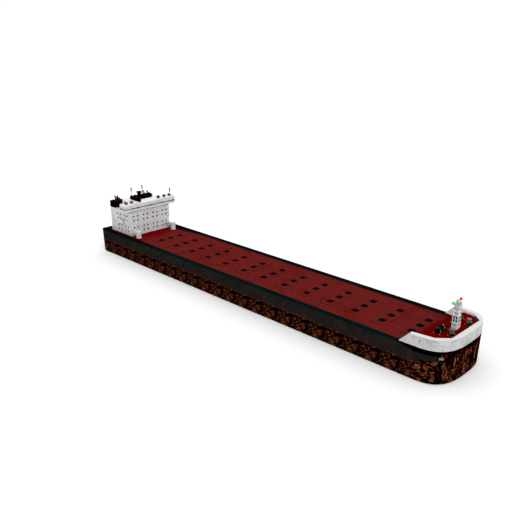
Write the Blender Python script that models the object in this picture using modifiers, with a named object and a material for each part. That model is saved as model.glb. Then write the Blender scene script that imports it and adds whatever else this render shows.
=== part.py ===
# Bulk carrier with thirteen rows of hatches, a 1:10 scale model of a ship of about 292 m.
# Metres, +X towards the bow, +Y to port, +Z up. The origin is on the floor, under the
# middle of the length, at the keel.
import bpy
import bmesh
import math
from mathutils import Matrix, Vector

# Hull
LENGTH = 29.23          # transom to stem
BEAM = 4.66
DECK_Z = 1.69           # main deck above the keel
GUNWALE_HEIGHT = 0.12
GUNWALE_WIDTH = 0.18
BILGE_RADIUS = 0.10
STERN_RAKE = 0.14       # the transom's foot stands this far forward of its top
BOW_RAKE = 0.07
BOW_LENGTH = 1.914      # length of the rounded bow
BOW_POWER = 3.0         # roundness of the bow in plan: 2 is an ellipse
BLOCK_JOINTS_X = (-9.918, -2.958, 4.002, 12.267)
SEAM = 0.0003           # gap between pieces that touch

# Holds and hatch covers
ROWS = 13
BAY = 1.74              # spacing of the hatch rows
FIRST_ROW_X = -9.048
HOLD_LENGTH = 0.644
HOLD_WIDTH = 2.366
TANK_TOP_Z = 0.20       # floor of the holds
COVER_LENGTH = 0.714
COVER_WIDTH = 2.506
COVER_THICKNESS = 0.045
COVER_GAP = 0.006       # under the cover, where its seal is
HATCH_SIDE = 0.357      # black panels, three on each cover
HATCH_PITCH = 0.84
HATCH_RISE = 0.012
HINGE_Z = DECK_Z + 0.032
PIN_RADIUS = 0.012      # hinge pins at the cover's after corners
PIN_REACH = 0.05
PIN_CLEARANCE = 0.002
EAR_HALF_LENGTH = 0.03  # ears on the deck that hold the pins
EAR_HALF_WIDTH = 0.02

# Propeller and rudder
SHAFT_Z = 0.50
SHAFT_RADIUS = 0.045
PROPELLER_X = -13.72
PROPELLER_RADIUS = 0.42
PROPELLER_PITCH = 0.62  # advance in one turn
BLADES = 4
HUB_LENGTH = 0.22
TUNNEL_HALF_WIDTH = 0.72
TUNNEL_ROOF_Z = 1.06
RUDDER_AXIS_X = -14.14
RUDDER_CHORD = 0.50
RUDDER_THICKNESS = 0.09
RUDDER_FOOT_Z = 0.10
STOCK_RADIUS = 0.035
STOCK_LENGTH = 0.30     # above the tunnel's roof

# Fore deck and bulwark
FORE_DECK_Z = DECK_Z + 0.56
BULWARK_TOP_Z = DECK_Z + 0.696
BULWARK_START_X = 12.006
BULWARK_SLOPE = 0.557   # length of the sloped start of the bulwark
BULWARK_INNER = ((12.006, 2.18), (13.70, 1.93), (14.29, 1.39))  # plan of its inner face, port half
WELL_INSET = 0.01       # the well's wall stands this far inside the bulwark's inner face
RAMP_START_X = 12.30
RAMP_END_X = 13.14

# Accommodation block
LOWER_HOUSE_AFT_X = -14.14
UPPER_HOUSE_AFT_X = -14.08
HOUSE_FORE_X = -11.50
HOUSE_HALF_WIDTH = 1.79
HOUSE_SPLIT_Z = DECK_Z + 0.887
HOUSE_TOP_Z = DECK_Z + 1.827
HOUSE_STEP = 0.04       # the lower storeys' sides stand in by this much

# Bridge
BRIDGE_FORE_X = -11.36
BRIDGE_AFT_X = -13.14
BRIDGE_HALF_WIDTH = 1.305
WING_AFT_X = -12.06
WING_HALF_WIDTH = 2.262
WING_BOTTOM_Z = DECK_Z + 1.914
BRIDGE_FLOOR_Z = DECK_Z + 1.96
BRIDGE_ROOF_Z = DECK_Z + 2.40
ROOF_TOP_Z = DECK_Z + 2.436
ROOF_EAVE = 0.015
WINDOW_LOW_Z = DECK_Z + 2.075
WINDOW_HIGH_Z = DECK_Z + 2.18
FRONT_WINDOWS = 18
SIDE_WINDOWS = 3
MULLION = 0.024
WALL = 0.04
GLASS = 0.008

# Lamps on the bridge roof
SEARCHLIGHT_X = -11.66
SEARCHLIGHT_Y = (1.479, 1.966)
SEARCHLIGHT_LENGTH = 0.22
SEARCHLIGHT_RADIUS = 0.097
SIGNAL_LAMP_X = -11.54
SIGNAL_LAMP_Y = 0.853
SIGNAL_LAMP_SIDE = 0.165

# Whip aerials: place and top. The first stands on the starboard silencer, the others on the roof.
SILENCER_WHIP = (-12.615, -0.818, DECK_Z + 3.405)
ROOF_WHIPS = ((-12.702, 0.231, DECK_Z + 3.428), (-11.745, 2.12, DECK_Z + 3.059))
WHIP_RADIUS = 0.016
WHIP_COIL = (0.026, 0.22)       # radius and length of the thick stretch near a whip's top

# Uptakes on the bridge roof: two silencers joined by a beam, with their pipes
SILENCERS = ((-0.745, 0.155, -12.75, -11.88), (0.75, 0.132, -12.79, -12.32))  # y, radius and ends
SILENCER_GAP = 0.015    # between a silencer and the roof
UPTAKE_X = -12.42
UPTAKE_BEAM_HALF = 0.12
UPTAKE_BEAM_HEIGHT = 0.34
UPTAKE_Y = -0.26
UPTAKE_RADIUS = 0.145
UPTAKE_MOUTH_RADIUS = 0.16
UPTAKE_RIM_RADIUS = 0.20
UPTAKE_RIM_HEIGHT = 0.07
UPTAKE_TOP_Z = DECK_Z + 3.03
SCANNER_Y = 0.113
SCANNER_Z = DECK_Z + 3.005
SCANNER_LENGTH = 0.24

# Funnel on the starboard quarter
FUNNEL_LOW = (-14.18, -1.757)
FUNNEL_HIGH = (-13.38, -0.887)
FUNNEL_HEIGHT = 0.47
# Each pipe on the funnel: its foot, its head and its radius, with heights from the funnel's top.
FUNNEL_PIPES = (
    ((-13.93, -1.36, -0.02), (-14.00, -1.40, 0.29), 0.050),
    ((-13.62, -1.40, -0.02), (-13.70, -1.43, 0.30), 0.050),
    ((-13.65, -1.39, 0.13), (-13.56, -1.26, 0.25), 0.045),
)

# Vent posts and lifeboats
POST_X = -10.832
POST_Y = 1.592
POST_RADIUS = 0.2175
POST_HEIGHT = 0.522
LIFEBOAT_X = -12.60
LIFEBOAT_Z = DECK_Z + 0.97
LIFEBOAT_LENGTH = 0.60
LIFEBOAT_WIDTH = 0.22
LIFEBOAT_HEIGHT = 0.32
LIFEBOAT_CANOPY = (0.21, 0.085, 0.135)

# Foremast
FOREMAST_X = 13.73
MAST_BASE = (0.14, 0.19)        # half length and half width of the base frame
MAST_TOWER = (0.157, 0.148)
MAST_COLUMN = (0.125, 0.120)
MAST_PLATFORM = (0.16, 0.155)
MAST_BASE_TOP_Z = DECK_Z + 0.89
MAST_TOWER_TOP_Z = DECK_Z + 1.29
MAST_COLUMN_TOP_Z = DECK_Z + 1.80
# Rows of holes: heights, places across, radius, and how much taller than wide each is.
MAST_BASE_HOLES = ((MAST_BASE_TOP_Z - 0.06,), (-0.088, 0.0, 0.088), 0.033, 1.0)
MAST_TOWER_HOLES = ((MAST_BASE_TOP_Z + 0.11, MAST_BASE_TOP_Z + 0.28), (-0.066, 0.066), 0.041, 1.65)
MAST_COLUMN_HOLES = ((MAST_TOWER_TOP_Z + 0.11, MAST_TOWER_TOP_Z + 0.33), (-0.05, 0.05), 0.026, 1.8)
MAST_ARM_Z = DECK_Z + 1.954
MAST_ARM_HALF = 0.39
MAST_LIGHT_RADIUS = 0.075
MAST_TOP_Z = DECK_Z + 2.10

# Windlasses and capstans on the fore deck
WINDLASS_X = 13.389
WINDLASS_INNER_Y = 0.41
WINDLASS_OUTER_Y = 1.21
WINDLASS_HALF_LENGTH = 0.165
WINDLASS_AXIS_HEIGHT = 0.175
WINDLASS_FLANGE_RADIUS = 0.14
WINDLASS_DRUM_RADIUS = 0.085
CAPSTAN_X = 13.99
CAPSTAN_Y = 0.85
CAPSTAN_RADIUS = 0.124
CAPSTAN_WAIST = 0.10
CAPSTAN_BASE = (0.12, 0.14)     # half length and half width
CAPSTAN_BASE_HEIGHT = 0.12
CAPSTAN_TOP_HEIGHT = 0.30
CAPSTAN_PIN = 0.04

# Anchors, stowed flat against the bow
ANCHOR_X = 14.15
ANCHOR_Z = 1.52
ANCHOR_SHANK = 0.15
ANCHOR_SPAN = 0.22
ANCHOR_GAP = 0.028      # from the bow's side to the middle of the anchor

HALF_LENGTH = LENGTH / 2
HALF_BEAM = BEAM / 2
GUNWALE_Z = DECK_Z + GUNWALE_HEIGHT
BOW_START_X = HALF_LENGTH - BOW_LENGTH


def rowX(index):
    return FIRST_ROW_X + BAY * index


# Scene
for old in list(bpy.data.objects):
    bpy.data.objects.remove(old, do_unlink=True)
ship = bpy.data.collections.new("bulk_carrier")
tools = bpy.data.collections.new("cutters")
bpy.context.scene.collection.children.link(ship)
bpy.context.scene.collection.children.link(tools)


def finish(name, colour, roughness, metallic=0.0):
    material = bpy.data.materials.new(name)
    material.use_nodes = True
    shader = material.node_tree.nodes["Principled BSDF"]
    shader.inputs["Base Color"].default_value = (*colour, 1.0)
    shader.inputs["Roughness"].default_value = roughness
    shader.inputs["Metallic"].default_value = metallic
    return material


HULL_PAINT = finish("hull_paint", (0.030, 0.022, 0.020), 0.6)
DECK_RED = finish("deck_red", (0.13, 0.010, 0.009), 0.7)
WHITE_PAINT = finish("white_paint", (0.62, 0.62, 0.60), 0.6)
FUNNEL_BLACK = finish("funnel_black", (0.012, 0.010, 0.009), 0.6)
WINDOW_BLUE = finish("window_blue", (0.03, 0.06, 0.16), 0.15)
BRONZE = finish("bronze", (0.45, 0.28, 0.10), 0.35, 0.9)
RUDDER_RUST = finish("rust_brown", (0.16, 0.05, 0.02), 0.85)
MACHINE_BLACK = finish("machine_black", (0.010, 0.012, 0.020), 0.5)
DRUM_GREY = finish("drum_grey", (0.16, 0.18, 0.18), 0.5, 0.5)


# Making shapes
def add(mesh, name, material=None):
    thing = bpy.data.objects.new(name, mesh)
    ship.objects.link(thing)
    if material:
        mesh.materials.clear()
        mesh.materials.append(material)
    return thing


def fromBmesh(shape, name, material=None):
    mesh = bpy.data.meshes.new(name)
    bmesh.ops.recalc_face_normals(shape, faces=shape.faces)
    if shape.calc_volume(signed=True) < 0:
        bmesh.ops.reverse_faces(shape, faces=shape.faces)
    shape.to_mesh(mesh)
    shape.free()
    return add(mesh, name, material)


def box(name, low, high, material=None):
    # The corners may be given in either order.
    shape = bmesh.new()
    size = [abs(high[i] - low[i]) for i in range(3)]
    middle = [(high[i] + low[i]) / 2 for i in range(3)]
    bmesh.ops.create_cube(shape, size=1.0)
    bmesh.ops.scale(shape, vec=size, verts=shape.verts)
    bmesh.ops.translate(shape, vec=middle, verts=shape.verts)
    return fromBmesh(shape, name, material)


def cylinder(name, start, end, radius, sides=16, endRadius=None, tall=1.0, material=None):
    # A cylinder or cone between two points; tall stretches it upright about its middle.
    start, end = Vector(start), Vector(end)
    along = end - start
    middle = (start + end) / 2
    shape = bmesh.new()
    bmesh.ops.create_cone(
        shape, cap_ends=True, segments=sides, radius1=radius,
        radius2=radius if endRadius is None else endRadius, depth=along.length)
    turn = along.to_track_quat("Z", "Y").to_matrix().to_4x4()
    bmesh.ops.transform(shape, matrix=turn, verts=shape.verts)
    bmesh.ops.scale(shape, vec=(1, 1, tall), verts=shape.verts)
    bmesh.ops.translate(shape, vec=middle, verts=shape.verts)
    return fromBmesh(shape, name, material)


def ball(name, centre, radius, sides=12, stretch=(1, 1, 1), material=None):
    shape = bmesh.new()
    bmesh.ops.create_uvsphere(shape, u_segments=sides, v_segments=sides // 2 + 2, radius=radius)
    bmesh.ops.scale(shape, vec=stretch, verts=shape.verts)
    bmesh.ops.translate(shape, vec=centre, verts=shape.verts)
    return fromBmesh(shape, name, material)


def plate(name, outline, low, high, axis="Z", material=None):
    # A flat outline thickened from low to high along an axis. The outline's two numbers
    # are (x, y) for Z, (x, z) for Y and (y, z) for X.
    curve = bpy.data.curves.new(name, "CURVE")
    curve.dimensions = "2D"
    curve.fill_mode = "BOTH"
    curve.extrude = (high - low) / 2
    spline = curve.splines.new("POLY")
    spline.points.add(len(outline) - 1)
    for point, (a, b) in zip(spline.points, outline):
        point.co = (a, b, 0, 1)
    spline.use_cyclic_u = True
    flat = bpy.data.objects.new(name + "_outline", curve)
    ship.objects.link(flat)
    bpy.context.view_layer.update()
    solid = flat.evaluated_get(bpy.context.evaluated_depsgraph_get())
    mesh = bpy.data.meshes.new_from_object(solid)
    bpy.data.objects.remove(flat, do_unlink=True)
    shape = bmesh.new()
    shape.from_mesh(mesh)
    bpy.data.meshes.remove(mesh)
    bmesh.ops.remove_doubles(shape, verts=shape.verts, dist=0.00005)
    middle = (high + low) / 2
    for vert in shape.verts:
        a, b, c = vert.co
        c += middle
        vert.co = {"Z": (a, b, c), "Y": (a, c, b), "X": (c, a, b)}[axis]
    return fromBmesh(shape, name, material)


def turned(name, centre, profile, sides=20, material=None):
    # A solid of revolution about an upright axis. The profile is (radius, height) from the
    # top down, and begins and ends on the axis.
    mesh = bpy.data.meshes.new(name)
    points = [(radius, 0, height) for radius, height in profile]
    mesh.from_pydata(points, [(i, i + 1) for i in range(len(points) - 1)], [])
    thing = add(mesh, name, material)
    thing.location = centre
    screw = thing.modifiers.new("screw", "SCREW")
    screw.steps = screw.render_steps = sides
    screw.use_merge_vertices = True
    screw.merge_threshold = 0.0001
    return settle(thing)


def settle(thing):
    # Turns an object with its modifiers into a plain mesh in world space.
    bpy.context.view_layer.update()
    solid = thing.evaluated_get(bpy.context.evaluated_depsgraph_get())
    mesh = bpy.data.meshes.new_from_object(solid)
    mesh.transform(thing.matrix_world)
    old = thing.data
    thing.modifiers.clear()
    thing.data = mesh
    thing.matrix_world = Matrix.Identity(4)
    mesh.name = thing.name
    if old.users == 0:
        bpy.data.meshes.remove(old)
    return thing


def combine(target, pieces, operation):
    for piece in pieces:
        tools.objects.link(piece)
        ship.objects.unlink(piece)
        piece.hide_render = True
        piece.display_type = "WIRE"
        change = target.modifiers.new(operation.lower(), "BOOLEAN")
        change.operation = operation
        change.solver = "EXACT"
        change.object = piece
    settle(target)
    for piece in pieces:
        bpy.data.objects.remove(piece, do_unlink=True)
    return target


def cut(target, *pieces):
    return combine(target, pieces, "DIFFERENCE")


def join(target, *pieces):
    return combine(target, pieces, "UNION")


# Hull
def midSection(decked=True):
    # Section of the parallel body as (y, z), with its deck between the gunwales or filled to them.
    arc = []
    for degrees in (0, 22.5, 45, 67.5, 90):
        turn = math.radians(degrees)
        arc.append((
            HALF_BEAM - BILGE_RADIUS + BILGE_RADIUS * math.sin(turn),
            BILGE_RADIUS - BILGE_RADIUS * math.cos(turn)))
    rail = [
        (HALF_BEAM, GUNWALE_Z),
        (HALF_BEAM - GUNWALE_WIDTH, GUNWALE_Z),
        (HALF_BEAM - GUNWALE_WIDTH, DECK_Z),
    ]
    half = arc + (rail if decked else rail[:1])
    return half + [(-y, z) for y, z in reversed(half)]


def bowOutline(inset=0.0, rake=0.0, sides=14):
    # Plan of the bow from the port side round to starboard, in from the full outline by inset.
    reach = BOW_LENGTH - inset - rake
    breadth = HALF_BEAM - inset
    points = []
    for i in range(-sides, sides + 1):
        angle = math.pi / 2 * abs(i) / sides
        x = BOW_START_X + reach * max(math.cos(angle), 0.0) ** (2 / BOW_POWER)
        y = breadth * math.sin(angle) ** (2 / BOW_POWER)
        points.append((x, y if i < 0 else -y))
    return points


def hingeEars(index):
    # An ear with a bored hole at each end of a hatch row's after edge.
    x = rowX(index) - COVER_LENGTH / 2
    ears = []
    for side in (-1, 1):
        y = side * (COVER_WIDTH / 2 + EAR_HALF_WIDTH + 0.01)
        ear = box(
            "ear", (x - EAR_HALF_LENGTH, y - EAR_HALF_WIDTH, DECK_Z - 0.02),
            (x + EAR_HALF_LENGTH, y + EAR_HALF_WIDTH, HINGE_Z + EAR_HALF_LENGTH))
        bore = cylinder(
            "bore", (x, y - PIN_REACH, HINGE_Z), (x, y + PIN_REACH, HINGE_Z),
            PIN_RADIUS + PIN_CLEARANCE, 12)
        ears.append(cut(ear, bore))
    return ears


def holdBlock(name, start, end, firstRow, lastRow):
    block = plate(name, midSection(), start + SEAM / 2, end - SEAM / 2, "X", HULL_PAINT)
    holds = []
    ears = []
    for row in range(firstRow, lastRow + 1):
        x = rowX(row)
        holds.append(box(
            "hold", (x - HOLD_LENGTH / 2, -HOLD_WIDTH / 2, TANK_TOP_Z),
            (x + HOLD_LENGTH / 2, HOLD_WIDTH / 2, DECK_Z + 0.5)))
        ears += hingeEars(row)
    cut(block, *holds)
    return join(block, *ears)


def sternTunnel():
    # The recess for the propeller and rudder, with the skeg and the shaft's bossing left standing in it.
    tunnel = plate("tunnel", [
        (-HALF_LENGTH - 0.3, TUNNEL_ROOF_Z), (PROPELLER_X + 0.35, TUNNEL_ROOF_Z),
        (PROPELLER_X + 1.2, 0.55), (PROPELLER_X + 2.4, 0.0), (PROPELLER_X + 2.6, -0.2),
        (-HALF_LENGTH - 0.3, -0.2),
    ], -TUNNEL_HALF_WIDTH, TUNNEL_HALF_WIDTH, "Y")
    half = [(PROPELLER_X + 3.0, 0.12), (PROPELLER_X + 1.6, 0.17), (PROPELLER_X + 0.16, 0.09)]
    skegPlan = half + [(x, -y) for x, y in reversed(half)]
    skeg = plate("skeg", skegPlan, -0.4, TUNNEL_ROOF_Z + 0.1, "Z")
    bossing = cylinder(
        "bossing", (PROPELLER_X + 0.9, 0, SHAFT_Z), (PROPELLER_X + 0.14, 0, SHAFT_Z), 0.16, 20, 0.115)
    return cut(tunnel, skeg, bossing)


def sternBlock():
    start, end = -HALF_LENGTH, BLOCK_JOINTS_X[0]
    block = plate("hull_stern", midSection(decked=False), start, end - SEAM / 2, "X", HULL_PAINT)
    for vert in block.data.vertices:
        if vert.co.x < start + 0.01:
            vert.co.x += STERN_RAKE * (1 - vert.co.z / GUNWALE_Z)
    wellHalf = HALF_BEAM - GUNWALE_WIDTH
    well = box("well", (start + GUNWALE_WIDTH, -wellHalf, DECK_Z), (end + 0.2, wellHalf, DECK_Z + 0.5))
    shaftBore = cylinder(
        "shaft_bore", (PROPELLER_X - 0.1, 0, SHAFT_Z), (PROPELLER_X + 0.7, 0, SHAFT_Z),
        SHAFT_RADIUS + PIN_CLEARANCE, 20)
    stockBore = cylinder(
        "stock_bore", (RUDDER_AXIS_X, 0, TUNNEL_ROOF_Z - 0.1),
        (RUDDER_AXIS_X, 0, TUNNEL_ROOF_Z + STOCK_LENGTH + 0.04), STOCK_RADIUS + PIN_CLEARANCE, 20)
    return cut(block, well, sternTunnel(), shaftBore, stockBore)


def innerBow(start, inset=0.0):
    # Plan inside the bulwark from a start, port side round to starboard: sides that close in a
    # little, two chamfers and a straight front.
    (x1, y1), (x2, y2), (x3, y3) = BULWARK_INNER
    y = y1 + (y2 - y1) * (start - x1) / (x2 - x1)
    half = [(start, y - inset), (x2, y2 - inset), (x3 - inset, y3 - inset)]
    return half + [(x, -y) for x, y in reversed(half)]


def bowShell(start):
    # Rings of the bow's plan from the bilge up to the gunwale, skinned and closed.
    levels = []
    for degrees in (0, 22.5, 45, 67.5, 90):
        turn = math.radians(degrees)
        levels.append((BILGE_RADIUS - BILGE_RADIUS * math.cos(turn), BILGE_RADIUS * (1 - math.sin(turn))))
    levels += [(0.7, 0.0), (GUNWALE_Z, 0.0)]
    shape = bmesh.new()
    rings = []
    for z, inset in levels:
        outline = bowOutline(inset, BOW_RAKE * (1 - z / GUNWALE_Z))
        outline = [(start, outline[0][1])] + outline + [(start, outline[-1][1])]
        rings.append([shape.verts.new((x, y, z)) for x, y in outline])
    skin(shape, rings)
    return fromBmesh(shape, "hull_bow", HULL_PAINT)


def skin(shape, rings):
    # Joins closed rings of points in turn and caps both ends.
    for low, high in zip(rings, rings[1:]):
        for i in range(len(low)):
            j = (i + 1) % len(low)
            shape.faces.new((low[i], low[j], high[j], high[i]))
    shape.faces.new(rings[0])
    shape.faces.new(rings[-1])


def bowBlock():
    start = BLOCK_JOINTS_X[-1] + SEAM / 2
    block = bowShell(start)
    wide = innerBow(start, WELL_INSET)[0][1]
    narrow = innerBow(RAMP_END_X, WELL_INSET)[0][1]
    wellPlan = [
        (start - 0.2, wide), (start, wide), (RAMP_END_X, narrow),
        (RAMP_END_X, -narrow), (start, -wide), (start - 0.2, -wide)]
    well = plate("well", wellPlan, DECK_Z, DECK_Z + 0.5, "Z")
    foreDeck = plate("fore_deck", innerBow(start, SEAM), DECK_Z - 0.1, FORE_DECK_Z, "Z")
    above = FORE_DECK_Z + 0.3
    slope = plate("slope", [
        (start - 0.3, DECK_Z), (RAMP_START_X, DECK_Z), (RAMP_END_X, FORE_DECK_Z),
        (RAMP_END_X, above), (start - 0.3, above),
    ], -BEAM, BEAM, "Y")
    cut(block, well)
    cut(foreDeck, slope)
    return join(block, foreDeck)


def bulwark():
    start, foot = BULWARK_START_X, GUNWALE_Z + SEAM
    outer = [(start, HALF_BEAM)] + bowOutline() + [(start, -HALF_BEAM)]
    wall = plate("bulwark", outer + innerBow(start)[::-1], foot, BULWARK_TOP_Z, "Z", WHITE_PAINT)
    above = BULWARK_TOP_Z + 0.3
    slope = plate("slope", [
        (start - 0.5, foot - 0.2), (start - 0.02, foot - 0.2), (start, foot),
        (start + BULWARK_SLOPE, BULWARK_TOP_Z), (start + BULWARK_SLOPE, above), (start - 0.5, above),
    ], -BEAM, BEAM, "Y")
    return cut(wall, slope)


def anchors():
    # Each lies flat against the bow's side, its shank upright and its crown below.
    foot = -ANCHOR_SHANK / 2
    for side, label in ((-1, "starboard"), (1, "port")):
        reach = (ANCHOR_X - BOW_START_X) / BOW_LENGTH
        y = HALF_BEAM * (1 - reach ** BOW_POWER) ** (1 / BOW_POWER)
        slope = -(HALF_BEAM / BOW_LENGTH) * (reach * HALF_BEAM / y) ** (BOW_POWER - 1)
        turn = Matrix.Rotation(side * math.atan(slope), 4, "Z")
        anchor = box(f"anchor_{label}", (-0.02, -0.016, foot), (0.02, 0.016, -foot), DRUM_GREY)
        crown = box("crown", (-ANCHOR_SPAN / 2, -0.02, foot - 0.05), (ANCHOR_SPAN / 2, 0.02, foot + 0.01))
        ring = cylinder("ring", (0, -0.012, -foot), (0, 0.012, -foot), 0.04, 12)
        flukes = []
        for x in (-0.36 * ANCHOR_SPAN, 0.36 * ANCHOR_SPAN):
            flukes.append(cylinder("fluke", (x, 0, foot - 0.012), (x, 0, 0.045), 0.026, 10, 0.012))
        join(anchor, crown, ring, *flukes)
        anchor.data.transform(Matrix.Translation((ANCHOR_X, side * (y + ANCHOR_GAP), ANCHOR_Z)) @ turn)


# Hatch covers
def hatchCover(index):
    x = rowX(index)
    aft = x - COVER_LENGTH / 2
    low = DECK_Z + COVER_GAP
    top = low + COVER_THICKNESS
    cover = box(
        f"hatch_cover_{index + 1:02d}", (aft, -COVER_WIDTH / 2, low),
        (aft + COVER_LENGTH, COVER_WIDTH / 2, top), DECK_RED)
    parts = []
    half = HATCH_SIDE / 2
    for i in (-1, 0, 1):
        y = i * HATCH_PITCH
        parts.append(box("panel", (x - half, y - half, top - 0.02), (x + half, y + half, top + HATCH_RISE)))
    for side in (-1, 1):
        inner, outer = side * (COVER_WIDTH / 2 - PIN_REACH), side * (COVER_WIDTH / 2 + PIN_REACH)
        parts.append(cylinder("pin", (aft, inner, HINGE_Z), (aft, outer, HINGE_Z), PIN_RADIUS, 12))
    return join(cover, *parts)


# Propeller and rudder
def rudder():
    # A foil of symmetric section standing on its stock.
    lead = RUDDER_AXIS_X + 0.28 * RUDDER_CHORD
    stations = ((0.0, 0.0), (0.04, 0.55), (0.15, 0.92), (0.35, 1.0), (0.65, 0.62), (1.0, 0.08))
    half = [(lead - RUDDER_CHORD * along, RUDDER_THICKNESS / 2 * wide) for along, wide in stations]
    outline = half + [(x, -y) for x, y in reversed(half[1:])]
    foil = plate("rudder", outline, RUDDER_FOOT_Z, TUNNEL_ROOF_Z - 0.07, "Z", RUDDER_RUST)
    stock = cylinder(
        "stock", (RUDDER_AXIS_X, 0, TUNNEL_ROOF_Z - 0.16),
        (RUDDER_AXIS_X, 0, TUNNEL_ROOF_Z + STOCK_LENGTH), STOCK_RADIUS, 20)
    return join(foil, stock)


def propeller():
    hub = cylinder(
        "propeller", (PROPELLER_X + HUB_LENGTH / 2 - 0.01, 0, SHAFT_Z),
        (PROPELLER_X - HUB_LENGTH / 2 - 0.01, 0, SHAFT_Z), 0.095, 20, 0.06, material=BRONZE)
    parts = [cylinder("shaft", (PROPELLER_X, 0, SHAFT_Z), (PROPELLER_X + 0.6, 0, SHAFT_Z), SHAFT_RADIUS, 20)]
    for i in range(BLADES):
        parts.append(blade(2 * math.pi * i / BLADES))
    return join(hub, *parts)


def blade(turn):
    # Foil sections from the hub to the tip, pitched less and less outwards. Each section
    # is its share of the radius, its chord and its thickness.
    sections = (
        (0.10, 0.12, 0.030), (0.4, 0.30, 0.022), (0.7, 0.36, 0.015), (0.92, 0.24, 0.010), (1.0, 0.09, 0.006))
    profile = ((-0.5, 0), (-0.25, 1), (0.1, 1.1), (0.5, 0), (0.1, -0.2), (-0.25, -0.2))
    shape = bmesh.new()
    rings = []
    for share, chord, thick in sections:
        radius = share * PROPELLER_RADIUS
        pitch = math.atan2(PROPELLER_PITCH, 2 * math.pi * max(radius, 0.06))
        ring = []
        for along, side in profile:
            a, b = along * chord, side * thick
            across = a * math.cos(pitch) - b * math.sin(pitch)
            fore = a * math.sin(pitch) + b * math.cos(pitch)
            ring.append(shape.verts.new((fore, across, radius)))
        rings.append(ring)
    skin(shape, rings)
    bmesh.ops.triangulate(shape, faces=shape.faces)
    place = Matrix.Translation((PROPELLER_X, 0, SHAFT_Z)) @ Matrix.Rotation(turn, 4, "X")
    bmesh.ops.transform(shape, matrix=place, verts=shape.verts)
    return fromBmesh(shape, "blade")


# Accommodation
def houses():
    half = HOUSE_HALF_WIDTH
    lowerHalf = half - HOUSE_STEP
    box("lower_house", (LOWER_HOUSE_AFT_X, -lowerHalf, DECK_Z + SEAM),
        (HOUSE_FORE_X, lowerHalf, HOUSE_SPLIT_Z), WHITE_PAINT)
    box("upper_house", (UPPER_HOUSE_AFT_X, -half, HOUSE_SPLIT_Z + SEAM),
        (HOUSE_FORE_X, half, HOUSE_TOP_Z), WHITE_PAINT)


def bridgePlan(inset=0.0):
    fore, aft, wing = BRIDGE_FORE_X - inset, BRIDGE_AFT_X + inset, WING_AFT_X + inset
    inner, outer = BRIDGE_HALF_WIDTH - inset, WING_HALF_WIDTH - inset
    half = [(fore, outer), (wing, outer), (wing, inner), (aft, inner)]
    return half + [(x, -y) for x, y in reversed(half)]


def bridgeRing(name, inset, thickness, low, high, material):
    # A closed wall that follows the bridge's plan.
    wall = plate(name, bridgePlan(inset), low, high, "Z", material)
    hollow = plate("inside", bridgePlan(inset + thickness), low - 0.1, high + 0.1, "Z")
    return cut(wall, hollow)


def windowRow(count, start, end):
    # Middle and half width of each window in a row.
    pitch = (end - start) / count
    return [(start + pitch * (i + 0.5), (pitch - MULLION) / 2) for i in range(count)]


def bridgeWalls():
    walls = bridgeRing("wheelhouse", 0.0, WALL, BRIDGE_FLOOR_Z + SEAM, BRIDGE_ROOF_Z, WHITE_PAINT)
    openings = []
    reach = WING_HALF_WIDTH - WALL
    for y, half in windowRow(FRONT_WINDOWS, -reach, reach):
        openings.append(box(
            "window", (BRIDGE_FORE_X - 2 * WALL, y - half, WINDOW_LOW_Z),
            (BRIDGE_FORE_X + WALL, y + half, WINDOW_HIGH_Z)))
    for side in (-1, 1):
        y = side * WING_HALF_WIDTH
        for x, half in windowRow(SIDE_WINDOWS, WING_AFT_X + WALL, BRIDGE_FORE_X - WALL):
            openings.append(box(
                "window", (x - half, y - 2 * WALL, WINDOW_LOW_Z), (x + half, y + 2 * WALL, WINDOW_HIGH_Z)))
    return cut(walls, *openings)


def whip(x, y, foot, top):
    # A thin aerial with a socket at its foot and a thicker stretch near its top.
    thin, (thick, length) = WHIP_RADIUS, WHIP_COIL
    return turned("whip", (x, y, 0), (
        (0, top), (0.7 * thin, top), (0.7 * thin, top - 0.05), (thick, top - 0.06),
        (thick, top - 0.06 - length), (thin, top - 0.08 - length), (thin, foot + 0.12),
        (2 * thin, foot + 0.11), (2 * thin, foot), (0, foot)), 10)


def roofLamps():
    # Searchlights that look forward, and two square signal lamps nearer the middle.
    parts = []
    z = ROOF_TOP_Z + SEARCHLIGHT_RADIUS + 0.01
    half = SEARCHLIGHT_LENGTH / 2
    for side in (-1, 1):
        for y in SEARCHLIGHT_Y:
            x = SEARCHLIGHT_X
            parts.append(cylinder("foot", (x, side * y, ROOF_TOP_Z - 0.01), (x, side * y, z), 0.02, 8))
            parts.append(cylinder(
                "lamp", (x - half, side * y, z), (x + half, side * y, z),
                0.8 * SEARCHLIGHT_RADIUS, 16, SEARCHLIGHT_RADIUS))
        x, y = SIGNAL_LAMP_X, side * SIGNAL_LAMP_Y
        low = ROOF_TOP_Z + 0.06
        parts.append(cylinder("post", (x, y, ROOF_TOP_Z - 0.01), (x, y, low + 0.02), 0.02, 8))
        width = SIGNAL_LAMP_SIDE
        parts.append(box(
            "signal", (x - width / 2, y - width / 2, low), (x + width / 2, y + width / 2, low + width)))
    return parts


def bridge():
    floor = box(
        "bridge_deck", (BRIDGE_AFT_X, -BRIDGE_HALF_WIDTH, HOUSE_TOP_Z + SEAM),
        (HOUSE_FORE_X, BRIDGE_HALF_WIDTH, BRIDGE_FLOOR_Z - 0.01), WHITE_PAINT)
    join(floor, plate("wings", bridgePlan(), WING_BOTTOM_Z, BRIDGE_FLOOR_Z, "Z"))
    bridgeWalls()
    bridgeRing("bridge_windows", WALL + SEAM, GLASS, WINDOW_LOW_Z - 0.02, WINDOW_HIGH_Z + 0.02, WINDOW_BLUE)
    roof = plate("bridge_roof", bridgePlan(-ROOF_EAVE), BRIDGE_ROOF_Z + SEAM, ROOF_TOP_Z, "Z", WHITE_PAINT)
    whips = [whip(x, y, ROOF_TOP_Z - 0.01, top) for x, y, top in ROOF_WHIPS]
    join(roof, *roofLamps(), *whips)


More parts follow.
